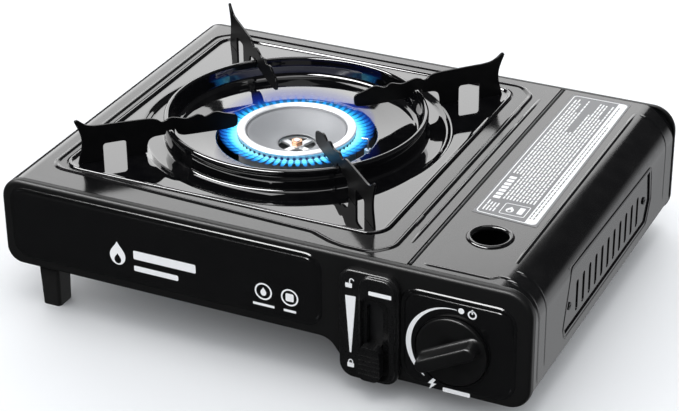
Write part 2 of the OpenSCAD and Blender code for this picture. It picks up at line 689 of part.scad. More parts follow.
body_shell();
base_plate();
bay_pan();
partition();
front_panel();
rear_panel();
front_trim();
control_plate();
lock_bezel();
foot_front_left();
foot_rear_left();
foot_front_right();
foot_rear_right();
base_screws();
heat_plate();
burner_bracket();
burner_cup();
burner_port_ring();
burner_dish();
burner_cross();
burner_stud();
burner_nut();
mixer_tube();
jet_elbow();
gas_jet();
gas_tube();
electrode_insulator();
electrode_pin();
electrode_bracket();
ignition_wire();
piezo_igniter();
regulator_body();
regulator_cover();
regulator_bracket();
cartridge_socket();
socket_seal();
fork_guides();
cartridge_rests();
hinge_leaf_fixed();
hinge_pin();
lid_shell();
thumb_ring();
lid_label();
lid_hinge_leaf();
vent_screws();
drip_tray();
arm_front_left();
arm_front_right();
arm_rear_left();
arm_rear_right();
knob();
valve_shaft();
ignition_cam();
lock_lever();
lever_link();
lock_fork();
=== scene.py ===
import math
import random

import bmesh
import bpy
from mathutils import Matrix, Vector


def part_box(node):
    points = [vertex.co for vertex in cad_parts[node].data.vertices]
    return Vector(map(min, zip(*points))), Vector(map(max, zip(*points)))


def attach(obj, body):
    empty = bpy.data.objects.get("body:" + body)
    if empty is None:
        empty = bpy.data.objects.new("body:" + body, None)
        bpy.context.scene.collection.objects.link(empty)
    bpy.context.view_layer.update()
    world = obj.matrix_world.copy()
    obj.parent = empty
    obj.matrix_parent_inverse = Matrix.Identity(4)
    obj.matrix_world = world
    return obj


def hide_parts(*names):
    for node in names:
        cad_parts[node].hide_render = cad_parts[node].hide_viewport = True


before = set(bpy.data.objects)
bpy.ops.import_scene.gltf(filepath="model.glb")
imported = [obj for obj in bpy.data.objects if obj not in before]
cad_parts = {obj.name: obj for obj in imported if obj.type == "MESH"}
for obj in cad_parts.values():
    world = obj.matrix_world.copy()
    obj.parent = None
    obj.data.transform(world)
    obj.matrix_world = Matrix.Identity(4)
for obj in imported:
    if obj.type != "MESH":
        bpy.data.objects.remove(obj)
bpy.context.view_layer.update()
print("stove: frame loaded,", len(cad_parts), "nodes")

# Everything below is worked out in millimetres about the middle of the body shell.
mm = 0.001


def cadBox(node):
    low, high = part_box(node)
    return low / mm, high / mm


def cadMiddle(node):
    low, high = cadBox(node)
    return (low + high) / 2


def faceBox(node):
    # A front node's left, bottom, right and top.
    low, high = cadBox(node)
    return tuple(round(value, 2) for value in (low.x, low.z, high.x, high.z))


shellLow, shellHigh = cadBox("body_shell")
panelLow, panelHigh = cadBox("front_panel")
rearHigh = cadBox("rear_panel")[1]
trayLow, trayHigh = cadBox("drip_tray")
shift = (shellLow.y + rearHigh.y) / 2
halfWide = panelHigh.x
lidWide = cadBox("lid_shell")[1].x
topZ = shellHigh.z
faceY = panelLow.y - shift
rearFaceY = rearHigh.y - shift
boxFloor = shellLow.z
bayFloor = panelLow.z
trayMid = Vector(((trayLow.x + trayHigh.x) / 2, (trayLow.y + trayHigh.y) / 2 - shift, 0))
traySide = trayHigh.x - trayLow.x
burnerTop = cadBox("burner_dish")[1].z
trayFlat = burnerTop  # the tray's flat is level with the burner's rim
shaftMid = cadMiddle("valve_shaft")

# The camera is in millimetres and degrees, the rest in metres.
studio = {
    "cameraAt": (499.6, -1059.6, 674.0),
    "pitchDown": 28.44,
    "yaw": 25.48,
    "roll": -0.49,
    "lens": 111.72,
    "shift": (-0.0053, 0.0011),
    "floorSize": 9.0,
    "floorColour": (0.9, 0.9, 0.9, 1),
    "worldColour": (0.93, 0.96, 1.0, 1),
    "worldStrength": 0.95,
    "glow": (("X", 0.05, 0.35), ("Y", 0.15, 0.5), ("Z", 0.05, -0.25)),
    "roomDim": 0.04,
    "glowLevel": 0.85,
}
# Softboxes: place, aim, width, height, radiance, and whether the floor and matt faces see them.
lamps = {
    "backWall": ((-1.75, 2.6, 1.15), (0, 0, 0.05), 4.0, 1.9, 2.75, True),
    "overhead": ((0.2, -0.1, 1.9), (0, 0, 0), 1.4, 0.9, 2.2, True),
    "highStrip": ((-0.81, 1.475, 1.736), (-0.06, 0.06, 0.08), 0.48, 0.66, 5.0, False),
    "edgeStrip": ((-0.75, -1.0, 1.5), (0, -0.1, 0.05), 2.6, 0.6, 26, False),
}


def makeCamera():
    data = bpy.data.cameras.new("studioCamera")
    data.sensor_width = 36
    data.lens = studio["lens"]
    data.shift_x, data.shift_y = studio["shift"]
    data.clip_start, data.clip_end = 0.05, 40
    camera = bpy.data.objects.new("studioCamera", data)
    bpy.context.scene.collection.objects.link(camera)
    x, y, z = studio["cameraAt"]
    turn = (
        Matrix.Rotation(math.radians(studio["yaw"]), 4, "Z")
        @ Matrix.Rotation(math.radians(90 - studio["pitchDown"]), 4, "X")
        @ Matrix.Rotation(math.radians(studio["roll"]), 4, "Z")
    )
    camera.matrix_world = Matrix.Translation(Vector((x, y + shift, z)) * mm) @ turn
    bpy.context.scene.camera = camera


def softbox(name, place, aim, width, height, radiance, lightsPaint):
    data = bpy.data.lights.new(name, "AREA")
    data.shape = "RECTANGLE"
    data.size, data.size_y = width, height
    data.energy = radiance * math.pi * width * height
    lamp = bpy.data.objects.new(name, data)
    bpy.context.scene.collection.objects.link(lamp)
    lamp.location = place
    lamp.rotation_euler = (Vector(aim) - Vector(place)).to_track_quat("-Z", "Y").to_euler()
    lamp.visible_diffuse = lightsPaint


def makeAir(world):
    # Pale air for the camera and soft light.
    # Reflections see a dim room with a grey glow low at the back right.
    tree = world.node_tree
    pale = tree.nodes["Background"]
    pale.inputs["Color"].default_value = studio["worldColour"]
    pale.inputs["Strength"].default_value = studio["worldStrength"]
    dim = tree.nodes.new("ShaderNodeBackground")
    dim.inputs["Color"].default_value = (0.97, 0.98, 1.0, 1)
    look = tree.nodes.new("ShaderNodeTexCoord")
    axes = tree.nodes.new("ShaderNodeSeparateXYZ")
    tree.links.new(look.outputs["Generated"], axes.inputs[0])
    glow = None
    for axis, low, high in studio["glow"]:
        gate = tree.nodes.new("ShaderNodeMapRange")
        gate.interpolation_type = "SMOOTHSTEP"
        gate.inputs["From Min"].default_value = low
        gate.inputs["From Max"].default_value = high
        tree.links.new(axes.outputs[axis], gate.inputs["Value"])
        if glow is None:
            glow = gate.outputs["Result"]
            continue
        both = tree.nodes.new("ShaderNodeMath")
        both.operation = "MULTIPLY"
        tree.links.new(glow, both.inputs[0])
        tree.links.new(gate.outputs["Result"], both.inputs[1])
        glow = both.outputs[0]
    level = tree.nodes.new("ShaderNodeMapRange")
    level.inputs["To Min"].default_value = studio["roomDim"]
    level.inputs["To Max"].default_value = studio["glowLevel"]
    tree.links.new(glow, level.inputs["Value"])
    tree.links.new(level.outputs["Result"], dim.inputs["Strength"])
    rays = tree.nodes.new("ShaderNodeLightPath")
    mix = tree.nodes.new("ShaderNodeMixShader")
    tree.links.new(rays.outputs["Is Glossy Ray"], mix.inputs[0])
    tree.links.new(pale.outputs[0], mix.inputs[1])
    tree.links.new(dim.outputs[0], mix.inputs[2])
    tree.links.new(mix.outputs[0], tree.nodes["World Output"].inputs["Surface"])


def makeStudio():
    scene = bpy.context.scene
    scene.view_settings.view_transform = "Standard"
    world = bpy.data.worlds.new("studioAir")
    world.use_nodes = True
    scene.world = world
    makeAir(world)
    for name, settings in lamps.items():
        softbox(name, *settings)
    mesh = bpy.data.meshes.new("floor")
    half = studio["floorSize"] / 2
    corners = [(-half, -half, 0), (half, -half, 0), (half, half, 0), (-half, half, 0)]
    mesh.from_pydata(corners, [], [(0, 1, 2, 3)])
    floor = bpy.data.objects.new("floor", mesh)
    scene.collection.objects.link(floor)
    paper = bpy.data.materials.new("studioPaper")
    paper.use_nodes = True
    skin = paper.node_tree.nodes["Principled BSDF"]
    skin.inputs["Base Color"].default_value = studio["floorColour"]
    skin.inputs["Roughness"].default_value = 0.9
    skin.inputs["Specular IOR Level"].default_value = 0.1
    mesh.materials.append(paper)
    floor.visible_glossy = False


makeCamera()
makeStudio()
print("stove: camera and studio set")


def newGroup(name, inputs, outputs):
    tree = bpy.data.node_groups.new(name, "ShaderNodeTree")
    for label, kind, value in inputs:
        socket = tree.interface.new_socket(label, in_out="INPUT", socket_type="NodeSocket" + kind)
        socket.default_value = value
    for label, kind in outputs:
        tree.interface.new_socket(label, in_out="OUTPUT", socket_type="NodeSocket" + kind)
    return tree, tree.nodes.new("NodeGroupInput"), tree.nodes.new("NodeGroupOutput")


def node(tree, kind, **settings):
    made = tree.nodes.new("ShaderNode" + kind)
    for key, value in settings.items():
        setattr(made, key, value)
    return made


def maths(tree, operation, a, b=None, clamp=False):
    made = node(tree, "Math", operation=operation, use_clamp=clamp)
    for socket, value in zip(made.inputs, (a, b)):
        if value is None:
            continue
        if isinstance(value, (int, float)):
            socket.default_value = value
        else:
            tree.links.new(value, socket)
    return made.outputs[0]


def makeSprayTexture():
    # Fine orange peel of sprayed or fired coats, with broad soft waves under it.
    tree, given, out = newGroup(
        "sprayTexture",
        [("Peel Scale", "Float", 900.0), ("Wave Scale", "Float", 25.0), ("Wave Share", "Float", 0.5)],
        [("Height", "Float"), ("Tone", "Float")],
    )
    place = node(tree, "TexCoord").outputs["Object"]
    peel = node(tree, "TexNoise")
    wave = node(tree, "TexNoise")
    for noise, label, detail in ((peel, "Peel Scale", 2), (wave, "Wave Scale", 1)):
        tree.links.new(place, noise.inputs["Vector"])
        tree.links.new(given.outputs[label], noise.inputs["Scale"])
        noise.inputs["Detail"].default_value = detail
    mix = node(tree, "Mix", data_type="FLOAT")
    tree.links.new(given.outputs["Wave Share"], mix.inputs["Factor"])
    tree.links.new(peel.outputs["Fac"], mix.inputs["A"])
    tree.links.new(wave.outputs["Fac"], mix.inputs["B"])
    tree.links.new(mix.outputs["Result"], out.inputs["Height"])
    tree.links.new(wave.outputs["Fac"], out.inputs["Tone"])
    return tree


def makeSettledDust():
    # A thin film of dust and finger haze, heavier on what faces up.
    tree, given, out = newGroup(
        "settledDust",
        [("Scale", "Float", 60.0), ("Amount", "Float", 0.2), ("Upward", "Float", 0.7)],
        [("Mask", "Float")],
    )
    place = node(tree, "TexCoord").outputs["Object"]
    cloud = node(tree, "TexNoise")
    tree.links.new(place, cloud.inputs["Vector"])
    tree.links.new(given.outputs["Scale"], cloud.inputs["Scale"])
    cloud.inputs["Detail"].default_value = 6
    cloud.inputs["Roughness"].default_value = 0.65
    speck = node(tree, "TexVoronoi")
    tree.links.new(place, speck.inputs["Vector"])
    tree.links.new(maths(tree, "MULTIPLY", given.outputs["Scale"], 14.0), speck.inputs["Scale"])
    dots = maths(tree, "LESS_THAN", speck.outputs["Distance"], 0.12)
    face = node(tree, "SeparateXYZ")
    tree.links.new(node(tree, "NewGeometry").outputs["Normal"], face.inputs["Vector"])
    up = maths(tree, "MAXIMUM", face.outputs["Z"], 0.0)
    share = node(tree, "Mix", data_type="FLOAT")
    tree.links.new(given.outputs["Upward"], share.inputs["Factor"])
    share.inputs["A"].default_value = 1.0
    tree.links.new(up, share.inputs["B"])
    patchy = maths(tree, "SUBTRACT", cloud.outputs["Fac"], 0.42, clamp=True)
    both = maths(tree, "ADD", patchy, maths(tree, "MULTIPLY", dots, 0.35))
    weighed = maths(tree, "MULTIPLY", both, share.outputs["Result"])
    tree.links.new(maths(tree, "MULTIPLY", weighed, given.outputs["Amount"], clamp=True), out.inputs["Mask"])
    return tree


def makeRubbedEdge():
    # Corners and folds where the coat has been rubbed.
    tree, given, out = newGroup(
        "rubbedEdge",
        [("Sharpness", "Float", 0.56), ("Break Scale", "Float", 180.0), ("Amount", "Float", 0.5)],
        [("Mask", "Float")],
    )
    point = node(tree, "NewGeometry").outputs["Pointiness"]
    over = maths(tree, "SUBTRACT", point, given.outputs["Sharpness"])
    edge = maths(tree, "MULTIPLY", over, 14.0, clamp=True)
    breaks = node(tree, "TexNoise")
    tree.links.new(node(tree, "TexCoord").outputs["Object"], breaks.inputs["Vector"])
    tree.links.new(given.outputs["Break Scale"], breaks.inputs["Scale"])
    worn = maths(tree, "GREATER_THAN", breaks.outputs["Fac"], 0.52)
    rubbed = maths(tree, "MULTIPLY", edge, worn)
    tree.links.new(maths(tree, "MULTIPLY", rubbed, given.outputs["Amount"]), out.inputs["Mask"])
    return tree


def makeMetalGrain():
    # Lines left by rolling or turning, drawn out along one axis.
    tree, given, out = newGroup(
        "metalGrain",
        [("Stretch", "Vector", (400.0, 12.0, 400.0)), ("Blotch Scale", "Float", 60.0)],
        [("Height", "Float"), ("Tone", "Float")],
    )
    place = node(tree, "TexCoord").outputs["Object"]
    drawn = node(tree, "VectorMath", operation="MULTIPLY")
    tree.links.new(place, drawn.inputs[0])
    tree.links.new(given.outputs["Stretch"], drawn.inputs[1])
    lines = node(tree, "TexNoise")
    lines.inputs["Scale"].default_value = 1.0
    lines.inputs["Detail"].default_value = 4
    tree.links.new(drawn.outputs[0], lines.inputs["Vector"])
    blotch = node(tree, "TexNoise")
    tree.links.new(place, blotch.inputs["Vector"])
    tree.links.new(given.outputs["Blotch Scale"], blotch.inputs["Scale"])
    tree.links.new(lines.outputs["Fac"], out.inputs["Height"])
    tree.links.new(blotch.outputs["Fac"], out.inputs["Tone"])
    return tree


sprayTexture = makeSprayTexture()
settledDust = makeSettledDust()
rubbedEdge = makeRubbedEdge()
metalGrain = makeMetalGrain()
print("stove: shader groups built")


def newMaterial(name, colour, roughness, metallic=0.0, specular=0.5, coat=0.0):
    material = bpy.data.materials.new(name)
    material.use_nodes = True
    tree = material.node_tree
    skin = tree.nodes["Principled BSDF"]
    skin.inputs["Base Color"].default_value = (*colour, 1)
    skin.inputs["Roughness"].default_value = roughness
    skin.inputs["Metallic"].default_value = metallic
    skin.inputs["Specular IOR Level"].default_value = specular
    skin.inputs["Coat Weight"].default_value = coat
    return material, tree, skin


def placeGroup(tree, group, **values):
    made = node(tree, "Group", node_tree=group)
    for label, value in values.items():
        made.inputs[label].default_value = value
    return made


def blendColour(tree, factor, a, b):
    mix = node(tree, "Mix", data_type="RGBA")
    tree.links.new(factor, mix.inputs["Factor"])
    for socket, value in ((mix.inputs["A"], a), (mix.inputs["B"], b)):
        if isinstance(value, tuple):
            socket.default_value = (*value, 1)
        else:
            tree.links.new(value, socket)
    return mix.outputs["Result"]


def blendValue(tree, factor, a, b):
    span = node(tree, "MapRange")
    tree.links.new(factor, span.inputs["Value"])
    span.inputs["To Min"].default_value = a
    span.inputs["To Max"].default_value = b
    return span.outputs["Result"]


def addBump(tree, skin, height, strength, distance):
    bump = node(tree, "Bump")
    bump.inputs["Strength"].default_value = strength
    bump.inputs["Distance"].default_value = distance
    tree.links.new(height, bump.inputs["Height"])
    tree.links.new(bump.outputs["Normal"], skin.inputs["Normal"])


def coatedMetal(name, colour, roughness, specular, peel, dust, rub, rubColour=(0.09, 0.09, 0.095), coat=0.0):
    # Painted or enamelled sheet: peel, dust film and rubbed edges.
    material, tree, skin = newMaterial(name, colour, roughness, specular=specular, coat=coat)
    spray = placeGroup(tree, sprayTexture, **peel)
    film = placeGroup(tree, settledDust, **dust)
    edge = placeGroup(tree, rubbedEdge, **rub)
    dusty = blendColour(tree, film.outputs["Mask"], colour, (0.34, 0.33, 0.31))
    worn = blendColour(tree, edge.outputs["Mask"], dusty, rubColour)
    tree.links.new(worn, skin.inputs["Base Color"])
    haze = maths(tree, "ADD", maths(tree, "MULTIPLY", film.outputs["Mask"], 0.5), roughness)
    scuff = maths(tree, "MULTIPLY", edge.outputs["Mask"], 0.25)
    tree.links.new(maths(tree, "ADD", haze, scuff), skin.inputs["Roughness"])
    addBump(tree, skin, spray.outputs["Height"], 0.25, 0.00004)
    return material


def bareMetal(name, colour, roughness, stretch, spread=0.12, bump=0.25, dark=0.6, metallic=1.0):
    material, tree, skin = newMaterial(name, colour, roughness, metallic=metallic)
    grain = placeGroup(tree, metalGrain, **{"Stretch": stretch})
    edge = placeGroup(tree, rubbedEdge, **{"Amount": 0.5})
    shade = tuple(c * dark for c in colour)
    toned = blendColour(tree, grain.outputs["Tone"], shade, colour)
    bright = tuple(min(1, c * 1.15) for c in colour)
    tree.links.new(blendColour(tree, edge.outputs["Mask"], toned, bright), skin.inputs["Base Color"])
    rough = blendValue(tree, grain.outputs["Height"], roughness - spread / 2, roughness + spread)
    tree.links.new(rough, skin.inputs["Roughness"])
    addBump(tree, skin, grain.outputs["Height"], bump, 0.00005)
    return material


def mouldedPlastic(name, colour, roughness, grain, specular=0.4):
    material, tree, skin = newMaterial(name, colour, roughness, specular=specular)
    spray = placeGroup(tree, sprayTexture, **{"Peel Scale": grain, "Wave Share": 0.15})
    film = placeGroup(tree, settledDust, **{"Scale": 90.0, "Amount": 0.1})
    dusty = blendColour(tree, film.outputs["Mask"], colour, (0.3, 0.29, 0.28))
    tree.links.new(dusty, skin.inputs["Base Color"])
    rough = blendValue(tree, spray.outputs["Height"], roughness - 0.05, roughness + 0.1)
    tree.links.new(rough, skin.inputs["Roughness"])
    addBump(tree, skin, spray.outputs["Height"], 0.3, 0.00005)
    return material


def printedInk(name, colour):
    material, tree, skin = newMaterial(name, colour, 0.45)
    film = placeGroup(tree, sprayTexture, **{"Peel Scale": 1500.0, "Wave Share": 0.3})
    thin = tuple(c * 0.9 for c in colour)
    tree.links.new(blendColour(tree, film.outputs["Tone"], thin, colour), skin.inputs["Base Color"])
    addBump(tree, skin, film.outputs["Height"], 0.15, 0.00002)
    return material


bodyPaint = coatedMetal(
    "bodyPaint", (0.0035, 0.0035, 0.0038), 0.13, 0.62,
    {"Peel Scale": 700.0, "Wave Scale": 18.0, "Wave Share": 0.45},
    {"Scale": 70.0, "Amount": 0.05}, {"Amount": 0.25},
)
facePaint, panelPaint = (
    coatedMetal(
        name, (0.0045, 0.0045, 0.0047), roughness, specular,
        {"Peel Scale": 800.0, "Wave Scale": 20.0, "Wave Share": 0.4},
        {"Scale": 70.0, "Amount": 0.03}, {"Amount": 0.2},
    )
    for name, roughness, specular in (("facePaint", 0.13, 0.45), ("panelPaint", 0.42, 0.3))
)
trayEnamel = coatedMetal(
    "trayEnamel", (0.0025, 0.0025, 0.003), 0.035, 0.7,
    {"Peel Scale": 260.0, "Wave Scale": 14.0, "Wave Share": 0.75},
    {"Scale": 90.0, "Amount": 0.03}, {"Amount": 0.1}, coat=0.35,
)
armEnamel = coatedMetal(
    "armEnamel", (0.0018, 0.0018, 0.0022), 0.1, 0.14,
    {"Peel Scale": 420.0, "Wave Scale": 40.0, "Wave Share": 0.5},
    {"Scale": 120.0, "Amount": 0.04}, {"Amount": 0.35},
)


def sootFaces(material, face, edge):
    # Upright faces are dulled by soot; the rims that pans rub stay glossy.
    tree = material.node_tree
    skin = tree.nodes["Principled BSDF"]
    axes = node(tree, "SeparateXYZ")
    tree.links.new(node(tree, "NewGeometry").outputs["Normal"], axes.inputs[0])
    up = maths(tree, "ABSOLUTE", axes.outputs["Z"])
    tree.links.new(blendValue(tree, up, face, edge), skin.inputs["Roughness"])


sootFaces(armEnamel, 0.38, 0.1)
# Dark paint of the inner parts; on the plated hinge leaves and the lever link it also stands as painted
# shade.
innerPaintAndShade = coatedMetal(
    "innerPaintAndShade", (0.012, 0.012, 0.013), 0.42, 0.4,
    {"Peel Scale": 500.0, "Wave Scale": 20.0, "Wave Share": 0.3},
    {"Scale": 60.0, "Amount": 0.2}, {"Amount": 0.4},
)
knobPlastic = mouldedPlastic("knobPlastic", (0.004, 0.004, 0.0042), 0.3, 1800.0)
bezelPlastic = mouldedPlastic("bezelPlastic", (0.0045, 0.0045, 0.0048), 0.26, 1500.0)
casePlastic = mouldedPlastic("casePlastic", (0.02, 0.02, 0.022), 0.5, 1200.0)
footRubber = mouldedPlastic("footRubber", (0.004, 0.004, 0.004), 0.6, 900.0, specular=0.25)
wireRubber = mouldedPlastic("wireRubber", (0.03, 0.03, 0.032), 0.45, 2500.0)
dishMetal = bareMetal(
    "dishMetal", (0.33, 0.335, 0.347), 0.66, (900.0, 900.0, 900.0), dark=0.86, metallic=0.3,
)
# Aluminium of the burner rim and cross: its pale colour is partly painted reflection of the overhead light
# on the flat rim, brighter than the same metal in the dish.
rimMetalPaintedReflection = bareMetal("rimMetalPaintedReflection", (0.78, 0.79, 0.8), 0.4, (700.0, 700.0, 700.0), dark=0.97, metallic=0.5)
castMetal = bareMetal("castMetal", (0.5, 0.51, 0.52), 0.48, (500.0, 500.0, 500.0), bump=0.6, dark=0.7)
galvanised = bareMetal("galvanised", (0.55, 0.57, 0.58), 0.38, (120.0, 120.0, 120.0), dark=0.75)
screwSteel = bareMetal("screwSteel", (0.62, 0.62, 0.63), 0.3, (600.0, 60.0, 600.0))
blackScrew = bareMetal("blackScrew", (0.03, 0.03, 0.032), 0.35, (600.0, 60.0, 600.0))
brassMetal = bareMetal("brassMetal", (0.72, 0.52, 0.22), 0.3, (60.0, 600.0, 600.0))
copperMetal = bareMetal("copperMetal", (0.78, 0.42, 0.26), 0.26, (60.0, 600.0, 600.0))
ceramicWhite = mouldedPlastic("ceramicWhite", (0.82, 0.81, 0.78), 0.3, 600.0, specular=0.5)
whiteInk = printedInk("whiteInk", (0.9, 0.9, 0.9))
greyInk = printedInk("greyInk", (0.12, 0.12, 0.12))
labelFoil = printedInk("labelFoil", (0.17, 0.17, 0.175))
print("stove: materials made")


def arcPoints(middle, radius, start, end, steps):
    angles = (math.radians(start + (end - start) * i / steps) for i in range(steps + 1))
    return [(middle[0] + radius * math.cos(a), middle[1] + radius * math.sin(a)) for a in angles]


def newPiece(name, points, faces, material, body, slot=None, replaces=(), facing=None, sharp=35):
    # Points are in millimetres about the shell's middle.
    mesh = bpy.data.meshes.new(name)
    mesh.from_pydata([(x * mm, (y + shift) * mm, z * mm) for x, y, z in points], [], faces)
    shape = bmesh.new()
    shape.from_mesh(mesh)
    bmesh.ops.remove_doubles(shape, verts=shape.verts, dist=1e-6)
    bmesh.ops.recalc_face_normals(shape, faces=shape.faces)
    if facing:
        lean = sum((f.normal * f.calc_area() for f in shape.faces), Vector())
        if lean.dot(Vector(facing)) < 0:
            bmesh.ops.reverse_faces(shape, faces=shape.faces)
    shape.to_mesh(mesh)
    shape.free()
    mesh.shade_smooth()
    mesh.set_sharp_from_angle(angle=math.radians(sharp))
    mesh.materials.append(material)
    piece = bpy.data.objects.new(name, mesh)
    bpy.context.scene.collection.objects.link(piece)
    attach(piece, body)
    if replaces:
        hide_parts(*replaces)
    return piece


def modify(piece, kind, **settings):
    made = piece.modifiers.new(kind.lower(), kind)
    for key, value in settings.items():
        setattr(made, key, value)
    return made


def thicken(piece, thickness):
    modify(piece, "SOLIDIFY", thickness=thickness * mm, offset=-1, use_even_offset=True)


def roundEdges(piece, width, segments):
    modify(
        piece, "BEVEL", width=width * mm, segments=segments, limit_method="ANGLE",
        angle_limit=math.radians(40), harden_normals=False,
    )


def weighNormals(piece):
    modify(piece, "WEIGHTED_NORMAL", keep_sharp=True)


def loft(rings, closed=True):
    # Faces between rings of equal length.
    points = [p for ring in rings for p in ring]
    size = len(rings[0])
    faces = []
    for r in range(len(rings) - 1):
        for i in range(size if closed else size - 1):
            j = (i + 1) % size
            faces.append((r * size + i, r * size + j, (r + 1) * size + j, (r + 1) * size + i))
    return points, faces


def turned(section, steps, at=trayMid):
    # Revolves (radius, height) points about a vertical axis.
    rings = []
    for radius, height in section:
        angles = (2 * math.pi * i / steps for i in range(steps))
        rings.append([(at.x + radius * math.cos(a), at.y + radius * math.sin(a), height) for a in angles])
    return loft(rings)


def prism(outline, low, high, place):
    # Solid between two copies of an outline; place(u, v, w) puts a point in the model.
    size = len(outline)
    points = [place(u, v, w) for w in (low, high) for u, v in outline]
    faces = [(i, (i + 1) % size, size + (i + 1) % size, size + i) for i in range(size)]
    faces += [tuple(range(size)), tuple(range(size, 2 * size))]
    return points, faces


def roundedBox(x0, z0, x1, z1, radius, steps=8):
    radius = max(radius, 0.01)
    corners = (
        ((x1 - radius, z1 - radius), 90, 0), ((x1 - radius, z0 + radius), 0, -90),
        ((x0 + radius, z0 + radius), -90, -180), ((x0 + radius, z1 - radius), 180, 90),
    )
    return [p for middle, a, b in corners for p in arcPoints(middle, radius, a, b, steps)]


def smoothStep(value, low, high):
    t = min(1, max(0, (value - low) / (high - low)))
    return t * t * (3 - 2 * t)


def flatFill(loops, place):
    # Fills between an outer loop and any holes in one plane.
    shape = bmesh.new()
    for ring in loops:
        corners = [shape.verts.new((u, v, 0)) for u, v in ring]
        for i, corner in enumerate(corners):
            shape.edges.new((corner, corners[(i + 1) % len(corners)]))
    bmesh.ops.triangle_fill(shape, use_beauty=True, edges=shape.edges)
    shape.verts.index_update()
    points = [place(v.co.x, v.co.y) for v in shape.verts]
    faces = [tuple(v.index for v in f.verts) for f in shape.faces]
    shape.free()
    return points, faces


def joined(*parts):
    points, faces = [], []
    for p, f in parts:
        faces += [tuple(i + len(points) for i in face) for face in f]
        points += p
    return points, faces


# Sheet tray with its wind ring: radii and heights of the pressed section.
tray = {
    "hole": 50.5,
    "holeFloor": 81.4,
    "wallFloor": 84.8,
    "outerFloor": 84.2,
    "crest": 81.4,
    "crestHeight": 96.5,
    "crestRadius": 1.75,
    "corner": 13.0,
    "steps": 288,
    "thickness": 0.8,
}


def squareReach(angle, half, corner):
    # How far a rounded square's edge is from its middle in a direction.
    c, s = abs(math.cos(angle)), abs(math.sin(angle))
    if c < s:
        c, s = s, c
    if half * s / c <= half - corner:
        return half / c
    middle = half - corner
    along = (c + s) * middle
    return along + math.sqrt(along * along - 2 * middle * middle + corner * corner)


def makeTray():
    hole = tray["hole"]
    crest = tray["crest"]
    top = tray["crestHeight"]
    low, foot, outer = tray["holeFloor"], tray["wallFloor"], tray["outerFloor"]
    section = [(hole - 0.2, low - 1.6), (hole, low - 0.9)]
    section += arcPoints((hole + 1.2, low - 1.1), 1.2, 175, 100, 4)
    section += [(hole + 2, low + 0.14), (59, low + (foot - low) * 0.4), (66, low + (foot - low) * 0.73)]
    section += [(72, foot), (74, foot + 0.35)]
    section += arcPoints((74.2, foot + 4.3), 4.0, -82, -12, 8)
    section += [(78.5, 91.5), (79.2, 94.5)]
    section += arcPoints((crest, top), tray["crestRadius"], 178, 2, 14)
    section += [(83.0, 92), (82.8, 88)]
    section += arcPoints((84.8, outer + 2.0), 2.0, 185, 270, 6)
    section += [(88, outer), (92.5, outer)]
    section += arcPoints((93.2, outer + 2.4), 2.4, -80, -35, 4)
    section += arcPoints((99.2, trayFlat - 3.0), 3.0, 140, 90, 5)
    rim = [(5, 0), (3.6, 0), (3.0, 0.1), (2.5, 0.5), (2.1, 1.05), (1.6, 1.4), (1.0, 1.5)]
    rim += [(0.45, 1.35), (0.1, 0.9), (0, 0.3), (0, -0.6)]
    inner = section[-1][0]
    half, corner, steps = traySide / 2, tray["corner"], tray["steps"]

    def ring(height, reachAt):
        made = []
        for i in range(steps):
            a = 2 * math.pi * (i + 0.5) / steps
            reach = reachAt(a)
            made.append((trayMid.x + reach * math.cos(a), trayMid.y + reach * math.sin(a), height))
        return made

    # Round rings widen into the square flat, then into its rolled rim.
    rings = [ring(height, lambda a: radius) for radius, height in section]
    for share in (0.25, 0.5, 0.75):
        rings.append(ring(
            trayFlat, lambda a: inner + (squareReach(a, half - 5, corner - 5) - inner) * share,
        ))
    for inset, rise in rim:
        rings.append(ring(trayFlat + rise, lambda a: squareReach(a, half - inset, corner - inset)))
    points, faces = loft(rings)
    piece = newPiece(
        "tray_pan", points, faces, trayEnamel, "tray", "black_vitreous_enamel",
        ("drip_tray",), facing=(0, 0, 1), sharp=60,
    )
    thicken(piece, tray["thickness"])


makeTray()

# A support arm: distance from the tray's middle and height over its flat.
arm = {
    "thickness": 1.5,
    "edge": 0.32,
    "window": (110.0, 124.5),
    "windowHeight": 11.0,
    "top": [
        (40.0, 16.4), (44.0, 17.6), (47.5, 18.7), (51.0, 20.1), (54.0, 20.1), (57.0, 18.9),
        (59.5, 18.3), (61.5, 19.6), (64.0, 20.5), (68.0, 19.4), (71.5, 18.9), (75.5, 20.0),
        (80.0, 21.1), (83.0, 20.6), (85.4, 19.3), (87.4, 19.4), (90.5, 21.6), (95.0, 22.7),
        (103.0, 23.1), (112.0, 23.4), (120.0, 23.6), (127.0, 23.8), (132.0, 24.5), (135.6, 26.2),
        (138.2, 28.4), (139.6, 29.3), (141.0, 28.9), (141.2, 27.6), (139.7, 24.0), (138.2, 19.5),
        (137.5, 15.0), (137.9, 10.0), (139.2, 5.0), (140.5, 0.0),
    ],
    "under": [
        (97.0, 0.0), (96.7, 5.0), (95.4, 8.4), (92.5, 10.0), (88.5, 10.3), (85.2, 10.6), (84.3, 12.8),
    ],
    "inner": [
        (78.5, 12.8), (77.3, 9.9), (74.5, 8.3), (70.0, 7.8), (58.0, 7.6), (48.0, 7.4),
        (42.0, 7.9), (39.2, 9.0), (38.5, 11.5), (38.6, 14.6), (40.0, 16.4),
    ],
    "tabs": ((100, 106), (128, 134)),
    "tabDepth": 2.2,
    "places": {"arm_front_left": 225, "arm_front_right": 315, "arm_rear_left": 135, "arm_rear_right": 45},
}


def curved(points, steps=5):
    # A smooth run through the points.
    made = []
    last = len(points) - 1
    for i in range(last):
        a, b, c, d = points[max(i - 1, 0)], points[i], points[i + 1], points[min(i + 2, last)]
        for k in range(steps):
            t = k / steps
            made.append(tuple(
                0.5 * (2 * b[n] + (c[n] - a[n]) * t + (2 * a[n] - 5 * b[n] + 4 * c[n] - d[n]) * t * t
                       + (3 * b[n] - a[n] - 3 * c[n] + d[n]) * t ** 3)
                for n in range(len(b))
            ))
    return made + [points[last]]


